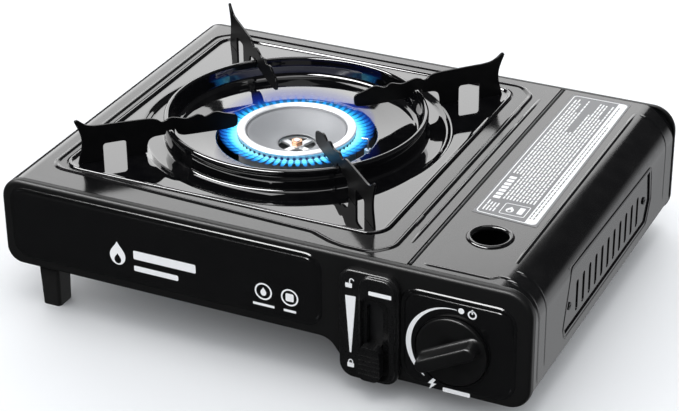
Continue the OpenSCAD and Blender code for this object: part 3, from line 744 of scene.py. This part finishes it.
def armOutline():
    w0, w1 = arm["window"]
    high = arm["windowHeight"]
    window = [(w1, 0)] + arcPoints((w1 - 2, high - 2), 2, 0, 90, 5)
    window += arcPoints((w0 + 2, high - 2), 2, 90, 180, 5) + [(w0, 0)]
    outside = curved(arm["top"], 4)
    return outside + window + curved(arm["under"], 4) + curved(arm["inner"], 4)[:-1]


def makeArm(name, angle):
    turn = math.radians(angle)
    c, s = math.cos(turn), math.sin(turn)

    def place(u, v, w):
        return (trayMid.x + u * c - w * s, trayMid.y + u * s + w * c, trayFlat + v)

    half = arm["thickness"] / 2
    points, faces = prism(armOutline(), -half, half, place)
    tabs = []
    for u0, u1 in arm["tabs"]:
        tab = [(u0, -arm["tabDepth"]), (u1, -arm["tabDepth"]), (u1, 0.1), (u0, 0.1)]
        tabs.append(prism(tab, -half * 0.98, half * 0.98, place))
    piece = newPiece(
        name + "_blade", *joined((points, faces), *tabs), armEnamel, "tray", "arm_enamel", (name,), sharp=30,
    )
    roundEdges(piece, arm["edge"], 3)
    weighNormals(piece)


for name, angle in arm["places"].items():
    makeArm(name, angle)
print("stove: tray and arms made")

burner = {"rimInner": 32.0, "rimOuter": 37.9, "centre": 12.4, "depth": 10.4, "sheet": 0.7, "steps": 160}


def makeBurnerCap():
    top = burnerTop
    inner, outer = burner["rimInner"], burner["rimOuter"]
    rim = [(outer - 0.2, top - 1.6), (outer, top - 0.9), (outer - 0.1, top - 0.35)]
    rim += [(outer - 0.5, top - 0.05), (outer - 1.2, top), (inner + 1.0, top - 0.1)]
    rim += [(inner + 0.4, top - 0.3), (inner + 0.1, top - 0.8)]
    points, faces = turned(rim, burner["steps"])
    # The rim takes the pale metal whose colour is partly painted reflection.
    piece = newPiece(
        "burner_rim", points, faces, rimMetalPaintedReflection, "body", "bright_aluminium", facing=(0, 0, 1), sharp=60,
    )
    thicken(piece, burner["sheet"])
    # A narrow groove stands between the rim and the dish.
    dish = [(inner + 0.35, top - 0.9), (inner + 0.1, top - 2.3), (inner - 0.5, top - 2.4)]
    dish += [(inner - 0.9, top - 1.75)]
    for i in range(1, 15):
        share = i / 14
        radius = inner + (burner["centre"] - inner) * share
        dish.append((radius, top - 1.1 - (burner["depth"] - 1.1) * math.sin(share * math.pi / 2) ** 1.15))
    dish += [(burner["centre"] - 0.4, top - burner["depth"] - 0.5)]
    points, faces = turned(dish, burner["steps"])
    bowl = newPiece(
        "burner_bowl", points, faces, dishMetal, "body", "bright_aluminium", ("burner_dish",),
        facing=(0, 0, 1), sharp=60,
    )
    thicken(bowl, burner["sheet"])


makeBurnerCap()

flame = {
    "count": 60,
    "from": 37.6,
    "to": 49.4,
    "low": 81.8,
    "rise": 3.5,
    "wide": 1.35,
    "haze": (85.0, 92.6, 0.34),
    "seed": 7,
}


def flameMaterial(name, solidity):
    material, tree, skin = newMaterial(name, (0.0, 0.02, 0.06), 0.9, specular=0.0)
    place = node(tree, "TexCoord").outputs["Object"]
    away = node(tree, "VectorMath", operation="SUBTRACT")
    tree.links.new(place, away.inputs[0])
    away.inputs[1].default_value = (trayMid.x * mm, (trayMid.y + shift) * mm, 0)
    flat = node(tree, "VectorMath", operation="MULTIPLY")
    tree.links.new(away.outputs[0], flat.inputs[0])
    flat.inputs[1].default_value = (1, 1, 0)
    reach = node(tree, "VectorMath", operation="LENGTH")
    tree.links.new(flat.outputs[0], reach.inputs[0])
    fade = node(tree, "MapRange")
    tree.links.new(reach.outputs["Value"], fade.inputs["Value"])
    fade.inputs["From Min"].default_value = flame["from"] * mm
    fade.inputs["From Max"].default_value = flame["to"] * mm
    ramp = node(tree, "ValToRGB")
    tree.links.new(fade.outputs["Result"], ramp.inputs["Fac"])
    ramp.color_ramp.elements[0].color = (0.25, 0.85, 1.0, 1)
    ramp.color_ramp.elements[1].color = (0.005, 0.02, 0.35, 1)
    bend = ramp.color_ramp.elements.new(0.45)
    bend.color = (0.03, 0.42, 0.95, 1)
    tree.links.new(ramp.outputs["Color"], skin.inputs["Emission Color"])
    skin.inputs["Emission Strength"].default_value = 2.0
    flicker = node(tree, "TexNoise")
    tree.links.new(place, flicker.inputs["Vector"])
    flicker.inputs["Scale"].default_value = 420.0
    solid = node(tree, "MapRange")
    tree.links.new(fade.outputs["Result"], solid.inputs["Value"])
    solid.inputs["To Min"].default_value = solidity
    solid.inputs["To Max"].default_value = 0.05
    uneven = maths(tree, "ADD", flicker.outputs["Fac"], 0.45)
    cover = maths(tree, "MULTIPLY", solid.outputs["Result"], uneven, clamp=True)
    tree.links.new(cover, skin.inputs["Alpha"])
    return material


def hazeMaterial():
    # Faint deep blue round the flames; it thins out as it rises.
    material, tree, skin = newMaterial("flameHaze", (0.0, 0.01, 0.04), 0.9, specular=0.0)
    place = node(tree, "TexCoord").outputs["Object"]
    axes = node(tree, "SeparateXYZ")
    tree.links.new(place, axes.inputs[0])
    thin = node(tree, "MapRange", interpolation_type="SMOOTHSTEP")
    tree.links.new(axes.outputs["Z"], thin.inputs["Value"])
    low, high, solid = flame["haze"]
    thin.inputs["From Min"].default_value = low * mm
    thin.inputs["From Max"].default_value = high * mm
    thin.inputs["To Min"].default_value = solid
    thin.inputs["To Max"].default_value = 0.0
    waver = node(tree, "TexNoise")
    tree.links.new(place, waver.inputs["Vector"])
    waver.inputs["Scale"].default_value = 60.0
    uneven = maths(tree, "ADD", waver.outputs["Fac"], 0.5)
    tree.links.new(maths(tree, "MULTIPLY", thin.outputs["Result"], uneven, clamp=True), skin.inputs["Alpha"])
    skin.inputs["Emission Color"].default_value = (0.01, 0.035, 0.55, 1)
    skin.inputs["Emission Strength"].default_value = 1.0
    return material


def makeFlames():
    # One tongue from each port, leaning out and up.
    draw = random.Random(flame["seed"])
    parts = []
    for i in range(flame["count"]):
        turn = 2 * math.pi * (i + 0.5) / flame["count"]
        reach = flame["to"] - flame["from"] + draw.uniform(-0.8, 0.4)
        rings = []
        for k in range(8):
            t = k / 7
            out = flame["from"] + reach * math.sin(t * math.pi / 2)
            up = flame["low"] + flame["rise"] * t * t
            wide = flame["wide"] * math.sqrt(1 - t ** 3) * (1 - 0.25 * t) + 0.04
            ring = []
            for a in range(8):
                side = wide * math.cos(2 * math.pi * a / 8)
                lift = 0.55 * wide * math.sin(2 * math.pi * a / 8)
                ring.append((
                    trayMid.x + out * math.cos(turn) - side * math.sin(turn),
                    trayMid.y + out * math.sin(turn) + side * math.cos(turn),
                    up + lift,
                ))
            rings.append(ring)
        points, faces = loft(rings)
        faces += [tuple(range(8)), tuple(range(len(points) - 8, len(points)))]
        parts.append((points, faces))
    skirt = turned([(37.7, 82.0), (39.5, 82.2), (42.0, 82.7), (45.0, 83.7), (49.4, 85.6)], 120)
    haze = turned([(44.0, 84.4), (46.5, 85.6), (48.4, 87.6), (49.3, 90.0), (49.7, 92.6)], 120)
    newPiece("flame_tongues", *joined(*parts), flameMaterial("flameGlow", 0.9), "body")
    newPiece("flame_veil", *skirt, flameMaterial("flameVeil", 0.4), "body", facing=(0, 0, 1))
    newPiece("flame_haze", *haze, hazeMaterial(), "body", facing=(0, 0, 1))


makeFlames()
print("stove: burner cap and flames made")


def roundPath(points, radius, closed=True, steps=7):
    # Turns a path's corners into curves.
    made = []
    size = len(points)
    for i, corner in enumerate(points):
        if not closed and i in (0, size - 1):
            made.append(corner)
            continue
        here = Vector(corner)
        before, after = Vector(points[i - 1]) - here, Vector(points[(i + 1) % size]) - here
        turn = math.pi - before.angle(after)
        reach = min(radius * math.tan(turn / 2), 0.46 * before.length, 0.46 * after.length)
        a, c = here + before.normalized() * reach, here + after.normalized() * reach
        for k in range(steps + 1):
            t = k / steps
            made.append(tuple((1 - t) ** 2 * a + 2 * t * (1 - t) * here + t * t * c))
    return made


def alongPath(path, closed):
    # Sideways direction at each point of a path.
    size = len(path)
    sides = []
    for i in range(size):
        a = Vector(path[i - 1] if closed or i else path[0])
        b = Vector(path[(i + 1) % size] if closed or i < size - 1 else path[-1])
        run = (b - a).normalized()
        sides.append(Vector((-run.y, run.x)))
    return sides


def bead(path, width, height, place, closed=True, steps=10):
    # Smooth ridge along a path; its edges sink just under the sheet.
    sides = alongPath(path, closed)
    rings = []
    for i, (point, side) in enumerate(zip(path, sides)):
        share = 1 if closed else smoothStep(min(i, len(path) - 1 - i), -0.4, 2.4)
        ring = []
        for k in range(steps + 1):
            off = (k / steps - 0.5) * width
            rise = height * share * math.cos(math.pi * off / width) ** 2 - 0.03
            ring.append(place(point[0] + side.x * off, point[1] + side.y * off, rise))
        rings.append(ring)
    if closed:
        rings.append(rings[0])
    return loft(rings, closed=False)


def spaced(path, step, closed=True):
    # Adds points so that no stretch of a path is longer than step.
    made = []
    size = len(path)
    for i in range(size if closed else size - 1):
        a, b = path[i], path[(i + 1) % size]
        count = max(1, int(math.dist(a, b) / step))
        made += [tuple(a[n] + (b[n] - a[n]) * k / count for n in range(2)) for k in range(count)]
    return made if closed else made + [path[-1]]


def onTop(u, v, h):
    return (u, v, topZ + h)


def onFront(u, v, h):
    return (u, faceY - h, v)


lidRound = 21.5
lidBend = lidRound * math.pi / 2


def onLid(s, v, h):
    # s runs from the crease line over the shoulder and down the side.
    if s <= 0:
        return (lidWide - lidRound + s, v, topZ + h)
    if s < lidBend:
        turn = s / lidRound
        return (
            lidWide - lidRound + (lidRound + h) * math.sin(turn), v,
            topZ - lidRound + (lidRound + h) * math.cos(turn),
        )
    return (lidWide + h, v, topZ - lidRound - (s - lidBend))


pressed = {
    "trayLine": [
        (-151, -107.5), (30, -115), (44, -121), (53, -123), (70, -123),
        (80, -112), (80, 105), (70, 116), (-139, 116), (-151, 105),
    ],
    "seamLine": [(86.9, -104), (86.9, 104)],
    "lidCrease": (-101, 108),
    "lidSide": (-109, 108),
    "lidBand": -122.6,
    "ventFrame": [(-68, 70.4), (78.6, 67.4), (81.4, 44), (73.6, 28.8), (-76.8, 28.8), (-79.2, 36)],
}


def makePressedLines():
    path = spaced(roundPath(pressed["trayLine"], 12), 12)
    parts = [bead(path, 4.4, 0.85, onTop)]
    parts.append(bead(spaced(pressed["seamLine"], 6, False), 3.2, 0.55, onTop, False))
    newPiece("top_pressed_lines", *joined(*parts), bodyPaint, "body", facing=(0, 0, 1), sharp=80)
    low, high = pressed["lidSide"]
    parts = []
    crease = spaced([(-0.2, pressed["lidCrease"][0]), (-0.2, pressed["lidCrease"][1])], 6, False)
    parts.append(bead(crease, 3.0, 0.6, onLid, False))
    for y in (low, high):
        drop = spaced([(3, y), (lidBend + 36, y)], 1.6, False)
        parts.append(bead(drop, 2.6, 0.35, onLid, False))
    field = [(lidBend + 65 - z, y) for y, z in pressed["ventFrame"]]
    parts.append(bead(spaced(roundPath(field, 6), 1.6), 2.4, 0.45, onLid))
    band = pressed["lidBand"]
    drop = spaced([(2.0, band + 2.2), (lidBend + 41, band + 2.2)], 1.6, False)
    parts.append(bead(drop, 3.4, 0.42, onLid, False))
    across = roundPath([(-47, band), (-7, band), (-3, -118.5), (3, -118.5)], 3, False)
    parts.append(bead(spaced(across, 1.5, False), 3.2, 0.55, onLid, False))
    newPiece("lid_pressed_lines", *joined(*parts), bodyPaint, "lid", facing=(0.6, 0, 1), sharp=80)


makePressedLines()


def endOutline(inset, steps=10):
    # Outline of an end panel, moved in.
    low, bay = boxFloor, bayFloor
    rows = [
        ((-halfWide + 14, topZ - 14), 14 - inset, 180, 90), ((halfWide - 16, topZ - 16), 16 - inset, 90, 0),
        ((halfWide - 14, bay + 14), 14 - inset, 0, -90), ((66, bay + 13), 13 - inset, 270, 205),
        ((41, low - 12), 12 + inset, 28, 90), ((-halfWide + 10.5, low + 10.5), 10.5 - inset, 270, 180),
    ]
    return [p for middle, radius, a, b in rows for p in arcPoints(middle, radius, a, b, steps)]


front = {
    "edge": 2.4,
    "fieldHeight": 1.1,
    "field": faceBox("front_trim"),
    "control": faceBox("control_plate"),
    "bezel": faceBox("lock_bezel"),
    "bezelHeights": (4.3, 5.9, 2.5),
    "bezelCorners": (9, 8, 5, 3),
    "bezelRolls": (1.6, 1.3, 0.9),
    "housing": (68.6, 10.6, 92.0, 79.2),
    "channel": (70.8, 12.6, 87.5, 65.0),
    "slot": (73.0, 20.5, 83.0, 60.0),
    "shaft": (round(shaftMid.x, 2), round(shaftMid.z, 2)),
}


def shrink(box, inset):
    return (box[0] + inset, box[1] + inset, box[2] - inset, box[3] - inset)


def boxRing(box, corner, inset, place, height, steps=8):
    return [place(u, v, height) for u, v in roundedBox(*shrink(box, inset), max(corner - inset, 0.3), steps)]


def circle(middle, radius, steps=48):
    return arcPoints(middle, radius, 0, 360 * (steps - 1) / steps, steps - 1)


def rolledEdge(start, height, radius, first=15, step=15, inward=1):
    # (inset, height) points of a quarter turn that ends level.
    row = []
    for turn in range(first, 91, step):
        t = math.radians(turn)
        row.append((start + inward * radius * (1 - math.cos(t)), height - radius * (1 - math.sin(t))))
    return row


def onRear(u, v, h):
    return (u, rearFaceY + h, v)


def makeEndSkin(name, place, depth, holes, replaced, facing):
    # Pressed end panel with a rolled edge all round.
    edge = front["edge"]
    rows = [(0.0, -depth), (0.0, 0.8 - depth), (0.0, -3.2)]
    rows += rolledEdge(0.0, 0.0, edge, 0, 10)
    rings = [[place(u, v, h) for u, v in endOutline(e)] for e, h in rows]
    fill = flatFill([endOutline(edge)] + holes, lambda u, v: place(u, v, 0))
    piece = newPiece(
        name, *joined(loft(rings), fill), panelPaint, "body", "black_enamel_paint",
        (replaced,), facing=facing, sharp=50,
    )
    thicken(piece, 0.8)
    weighNormals(piece)


def raisedField(name, box, corner, holes, replaced):
    rings = [boxRing(box, corner, inset, onFront, height) for inset, height in doubleEdge]
    inset, height = doubleEdge[-1]
    loops = [roundedBox(*shrink(box, inset), max(corner - inset, 0.3))] + holes
    fill = flatFill(loops, lambda u, v: onFront(u, v, height))
    newPiece(
        name, *joined(loft(rings), fill), facePaint, "body", "black_enamel_paint",
        (replaced,), facing=(0, -1, 0), sharp=50,
    )


def bumpRows(rows, steps=6):
    # Eases between (inset, height) points.
    made = [rows[0]]
    for (a, h), (b, k) in zip(rows, rows[1:]):
        for i in range(1, steps + 1):
            made.append((a + (b - a) * i / steps, h + (k - h) * smoothStep(i, 0, steps)))
    return made


shaftHole = circle(front["shaft"], 9)
frontHoles = [roundedBox(*front["slot"], 3, 6), shaftHole]
rearSlots = [roundedBox(x - 8, 52, x + 8, 57, 2.4, 4) for x in range(-110, 111, 22)]
makeEndSkin("front_skin", onFront, 5.0, frontHoles, "front_panel", (0, -1, 0))
makeEndSkin("rear_skin", onRear, 4.2, rearSlots, "rear_panel", (0, 1, 0))
doubleEdge = bumpRows([(0.0, -0.05), (1.5, 0.9), (3.1, 0.3), (4.5, 1.05), (6.6, front["fieldHeight"])])
raisedField("left_field", front["field"], 11, [], "front_trim")
raisedField("control_field", front["control"], 12, [shaftHole], "control_plate")
print("stove: pressed sheet made")


def makeBezel():
    # Low face on the left, and a raised housing round the lever's channel.
    box, housing, channel, slotBox = (front[key] for key in ("bezel", "housing", "channel", "slot"))
    low, high, floor = front["bezelHeights"]
    boxCorner, housingCorner, channelCorner, slotCorner = front["bezelCorners"]
    roll, housingRoll, lipRoll = front["bezelRolls"]

    def face(outer, inner, height):
        loops = [roundedBox(*shrink(area, inset), corner - inset) for area, inset, corner in (outer, inner)]
        return flatFill(loops, lambda u, v: onFront(u, v, height))

    def walls(area, corner, rows):
        return loft([boxRing(area, corner, inset, onFront, h) for inset, h in rows])

    side = [(0.0, 0.0), (0.0, 2.0), (0.0, low - roll)] + rolledEdge(0.0, low, roll)
    step = [(0.0, low), (0.25, low + 0.15), (0.45, low + 0.5), (0.6, high - housingRoll)]
    step += rolledEdge(0.6, high, housingRoll)
    turns = [math.radians(a) for a in range(0, 91, 15)]
    lip = [(-lipRoll + lipRoll * math.sin(t), high - lipRoll * (1 - math.cos(t))) for t in turns]
    lip += [(0.1, floor + 0.5), (0.3, floor + 0.1), (0.7, floor)]
    parts = [
        walls(box, boxCorner, side),
        face((box, roll, boxCorner), (housing, 0, housingCorner), low),
        walls(housing, housingCorner, step),
        face((housing, 0.6 + housingRoll, housingCorner), (channel, -lipRoll, channelCorner), high),
        walls(channel, channelCorner, lip),
        face((channel, 0.7, channelCorner), (slotBox, 0, slotCorner), floor),
        walls(slotBox, slotCorner, [(0, floor), (0, 1.0), (0, 0.0)]),
    ]
    newPiece(
        "lock_bezel_moulding", *joined(*parts), bezelPlastic, "body", "black_plastic",
        ("lock_bezel",), facing=(0, -1, 0), sharp=40,
    )


makeBezel()

knobShape = {
    "radius": 22.0,
    "turn": 208.0,
    "base": 1.6,
    "skirt": 4.2,
    "top": 14.0,
    "grip": (19.4, 20.6),
    "gripHalf": 4.5,
    "thickness": 1.2,
}


def onKnob(u, v, h):
    # u runs along the grip toward its pointer.
    c, s = math.cos(math.radians(knobShape["turn"])), math.sin(math.radians(knobShape["turn"]))
    return (front["shaft"][0] + u * c - v * s, faceY - h, front["shaft"][1] + u * s + v * c)


def gripRing(grow, height):
    # Outline of the grip: straight sides, round ends.
    back, tip = knobShape["grip"]
    w = knobShape["gripHalf"] + grow
    corner = min(w * 0.98, 4.2 + max(grow, 0))
    return [onKnob(u, v, height) for u, v in roundedBox(-back - grow, -w, tip + grow, w, corner, 10)]


def makeKnob():
    r, base, skirt = knobShape["radius"], knobShape["base"], knobShape["skirt"]
    rows = [(r - 1.2, base), (r - 0.2, base + 0.1), (r, base + 0.5), (r, base + 2.4)]
    rows += rolledEdge(r, skirt, 1.9, 10, 10, -1)
    rows += [(19.0, skirt - 0.03), (17.6, skirt - 0.12), (12.0, skirt - 0.2), (4.2, skirt - 0.2)]
    turns = [2 * math.pi * i / 96 for i in range(96)]
    rings = [[onKnob(reach * math.cos(t), reach * math.sin(t), h) for t in turns] for reach, h in rows]
    disc = newPiece(
        "knob_disc", *loft(rings), knobPlastic, "knob", "black_plastic", facing=(0, -1, 0), sharp=50,
    )
    thicken(disc, knobShape["thickness"])
    top = knobShape["top"]
    rows = [(2.4, skirt - 0.45), (1.5, skirt - 0.1), (0.8, skirt + 0.35), (0.35, skirt + 1.1)]
    rows += [(0.1, skirt + 2.2), (0.0, skirt + 3.4), (-0.35, top - 1.9)]
    rows += rolledEdge(-0.35, top - 0.25, 1.6, inward=-1)
    rings = [gripRing(grow, h) for grow, h in rows]
    points, faces = loft(rings)
    size = len(rings[0])
    faces.append(tuple(range(len(points) - size, len(points))))
    newPiece(
        "knob_grip", points, faces, knobPlastic, "knob", "black_plastic", ("knob",),
        facing=(0, -1, 0), sharp=45,
    )


makeKnob()
print("stove: bezel and knob made")


def printShapes(name, outlines, place, material, body, height, rise=0.05):
    # Thin printed shapes, each a closed outline or an outline with holes.
    parts = []
    for shapeLoops in outlines:
        loops = shapeLoops if isinstance(shapeLoops[0][0], (tuple, list)) else [shapeLoops]
        parts.append(flatFill(loops, lambda u, v: place(u, v, height + rise)))
        for ring in loops:
            parts.append(loft([[place(u, v, height + h) for u, v in ring] for h in (0, rise)]))
    newPiece(name, *joined(*parts), material, body, sharp=30)


def bar(x0, z0, x1, z1, radius=0.4):
    return roundedBox(x0, z0, x1, z1, radius, 3)


def ringShape(middle, outer, inner):
    return [circle(middle, outer, 32), circle(middle, inner, 32)]


def sweepMark(middle, radius, start, end, widths, steps=40):
    # A curved stripe whose width changes along it.
    outer, inner = [], []
    for i in range(steps + 1):
        t = i / steps
        a = math.radians(start + (end - start) * t)
        w = (widths[0] + (widths[1] - widths[0]) * math.sin(math.pi * t ** 1.7) ** 0.8) / 2
        outer.append((middle[0] + (radius + w) * math.cos(a), middle[1] + (radius + w) * math.sin(a)))
        inner.append((middle[0] + (radius - w) * math.cos(a), middle[1] + (radius - w) * math.sin(a)))
    return outer + inner[::-1]


def padlock(x, z, opened):
    # Small lock sign: a body and a shackle.
    body = bar(x - 2.1, z - 2.4, x + 2.1, z + 0.6, 0.5)
    lift = 0.9 if opened else 0.0
    swing = 1.9 if opened else 0.0
    outer = [(x - 1.5 + swing, z + 0.5)] + arcPoints((x + swing, z + 1.5 + lift), 1.5, 180, 0, 10)
    inner = arcPoints((x + swing, z + 1.5 + lift), 0.9, 0, 180, 10) + [(x - 0.9 + swing, z + 0.5)]
    if not opened:
        outer.append((x + 1.5, z + 0.5))
        inner.insert(0, (x + 0.9, z + 0.5))
    return [body, outer + inner]


def makeFrontMarks():
    middle = front["shaft"]
    x, z = middle
    bolt = [(x - 11.0, z - 20.6), (x - 14.8, z - 25.2), (x - 12.7, z - 25.4), (x - 14.0, z - 29.2)]
    bolt += [(x - 9.6, z - 24.8), (x - 11.6, z - 24.6), (x - 9.4, z - 21.2)]
    marks = [
        sweepMark(middle, 27.0, 86, 231, (0.4, 3.1)),
        circle((x + 4.6, z + 27.0), 1.8, 24),
        ringShape((x + 11.2, z + 26.0), 2.7, 1.8),
        bolt,
        bar(x - 5.6, z - 28.6, x + 11.0, z - 25.8, 0.6),
        bar(x + 10.75, z + 26.4, x + 11.65, z + 29.4, 0.3),
    ]
    printShapes("control_marks", marks, onFront, whiteInk, "body", front["fieldHeight"])
    wedge = [(60.4, 63.4), (67.0, 63.8), (64.0, 26.0), (63.0, 26.0)]
    bezelMarks = [wedge] + padlock(62.6, 71.2, True) + padlock(63.6, 18.4, False)
    low, high = front["bezelHeights"][:2]
    printShapes("bezel_marks", bezelMarks, onFront, whiteInk, "body", low)
    printShapes("housing_mark", [bar(75.6, 67.8, 89.6, 70.4, 0.4)], onFront, whiteInk, "body", high)


makeFrontMarks()


def dropShape(x, z, size):
    # Flame sign: a pointed drop.
    half = [(0.0, 1.0), (0.16, 0.74), (0.4, 0.42), (0.56, 0.12)]
    half += [(0.58, -0.2), (0.46, -0.5), (0.24, -0.7), (0.0, -0.76)]
    run = curved([(x + size * a, z + size * b) for a, b in half], 4)
    return run + [(2 * x - a, b) for a, b in run[-2:0:-1]]


signs = {"flame": (-91.0, 52.0), "drop": (6.5, 50.5), "square": (23.5, 50.5), "ring": (5.6, 4.6)}


def makeFieldMarks():
    # Plain signs and bars stand where the field is printed.
    x, z = signs["flame"]
    marks = [
        [dropShape(x, z, 9.0), dropShape(x, z - 3.0, 4.0)],
        bar(x + 11.0, z - 0.4, x + 53.0, z + 5.4, 0.8),
        bar(x + 11.0, z - 8.4, x + 41.0, z - 4.8, 0.8),
    ]
    x, z = signs["drop"]
    marks += [
        ringShape((x, z), *signs["ring"]),
        dropShape(x, z - 0.4, 3.2),
        bar(x - 7.0, z - 9.8, x + 7.0, z - 8.2, 0.4),
    ]
    x, z = signs["square"]
    marks += [
        ringShape((x, z), *signs["ring"]),
        bar(x - 2.6, z - 2.6, x + 2.6, z + 2.6, 0.9),
        bar(x - 4.0, z - 9.8, x + 4.0, z - 8.2, 0.4),
    ]
    printShapes("field_marks", marks, onFront, whiteInk, "body", front["fieldHeight"])


makeFieldMarks()

label = {
    "frame": [(105.8, -53.2), (143.2, -56.0), (141.4, 117.2), (105.8, 117.2)],
    "strip": [(136.6, -55.2), (142.9, -55.6), (141.0, 116.8), (135.6, 116.8)],
    "lines": 13,
    "firstLine": 108.6,
    "pitch": 2.1,
    "ink": 0.04,
    "seed": 12,
}


def textBars(draw, x, y0, y1, tall, words=(2.2, 6.5), gap=0.9):
    # A row of short bars, as small print looks from afar.
    made = []
    y = y0
    while y < y1 - words[0]:
        long = min(draw.uniform(*words), y1 - y)
        left, right = x - tall / 2, x + tall / 2
        made.append([(left, y), (right, y), (right, y + long), (left, y + long)])
        y += long + gap
    return made


def makeLabel():
    draw = random.Random(label["seed"])

    def onLabel(u, v, h):
        return (u, v, topZ + 0.2 + h)

    outline = spaced(roundPath(label["frame"], 2.5), 6)
    sides = alongPath(outline, True)
    edges = [[(p[0] + s.x * w, p[1] + s.y * w) for p, s in zip(outline, sides)] for w in (-0.35, 0.35)]
    ink = label["ink"]
    printShapes("label_frame", [edges, label["strip"]], onLabel, whiteInk, "lid", 0, ink)
    rows = [bar(108.4, -34 + i * 4.4, 112.8, -30.8 + i * 4.4, 0.5) for i in range(7)]
    places = [label["firstLine"] + i * label["pitch"] for i in range(label["lines"])]
    for i, x in enumerate(places):
        # Each fourth line ends a paragraph, and two more stop well short.
        start = 0 if i < 3 else -33
        end = 113 - (draw.uniform(0, 30) if i % 4 == 3 else draw.uniform(0, 3)) - (46 if i in (5, 6) else 0)
        rows += textBars(draw, x, start, end, 0.95)
    for x in places[:4]:
        rows += textBars(draw, x, -50, -37, 0.9)
    box = (118.4, -50.5, 134.2, -37.0)
    rows.append([roundedBox(*box, 1.2, 3), roundedBox(*shrink(box, 0.5), 0.8, 3)])
    rows.append([dropShape(123.5, -44.5, 4.0), dropShape(123.5, -45.6, 1.9)])
    rows.append(bar(128.4, -47.6, 131.8, -39.6, 0.6))
    printShapes("label_print", rows, onLabel, whiteInk, "lid", 0, ink)
    small = []
    for x, end in ((137.9, 112), (140.2, 82)):
        small += textBars(draw, x, -50, end, 0.8, (1.6, 4.5), 0.8)
    printShapes("label_small_print", small, onLabel, greyInk, "lid", ink, 0.03)


makeLabel()
print("stove: signs and label made")

# Finishes of the CAD nodes that show.
nodeLooks = {
    bodyPaint: ("body_shell", "lid_shell", "thumb_ring"),
    # The hinge leaves and the lever link are plated sheet but take the dark inner paint as painted shade, so
    # the hinge seam and the lever slot read dark.
    innerPaintAndShade: (
        "base_plate", "bay_pan", "partition", "cartridge_rests", "hinge_leaf_fixed", "lid_hinge_leaf",
        "lever_link",
    ),
    labelFoil: ("lid_label",),
    bezelPlastic: ("lock_lever",),
    casePlastic: ("piezo_igniter",),
    footRubber: ("foot_front_left", "foot_rear_left", "foot_front_right", "foot_rear_right", "socket_seal"),
    wireRubber: ("ignition_wire",),
    dishMetal: ("heat_plate", "cartridge_socket"),
    rimMetalPaintedReflection: ("burner_cross",),
    castMetal: ("burner_cup", "burner_port_ring", "mixer_tube", "regulator_body", "regulator_cover"),
    galvanised: ("burner_bracket", "electrode_bracket", "regulator_bracket", "ignition_cam", "lock_fork"),
    screwSteel: ("base_screws", "burner_stud", "electrode_pin", "fork_guides"),
    blackScrew: ("vent_screws", "hinge_pin"),
    brassMetal: ("jet_elbow", "gas_jet", "valve_shaft"),
    copperMetal: ("gas_tube", "burner_nut"),
    ceramicWhite: ("electrode_insulator",),
}
wideEdges = {"body_shell": 0.3, "lid_shell": 0.3, "lock_lever": 0.5}  # the others get 0.2 mm
roundNodes = ("ignition_wire",)


def dressNode(name, material):
    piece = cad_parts[name]
    piece.data.materials.clear()
    piece.data.materials.append(material)
    if "custom_normal" in piece.data.attributes:
        piece.data.attributes.remove(piece.data.attributes["custom_normal"])
    piece.data.shade_smooth()
    piece.data.set_sharp_from_angle(angle=math.radians(30))
    modify(piece, "WELD", merge_threshold=0.000002)
    if name not in roundNodes:
        roundEdges(piece, wideEdges.get(name, 0.2), 2)
    weighNormals(piece)


for material, names in nodeLooks.items():
    for name in names:
        dressNode(name, material)
print("stove: CAD nodes dressed")

print("stove: done")
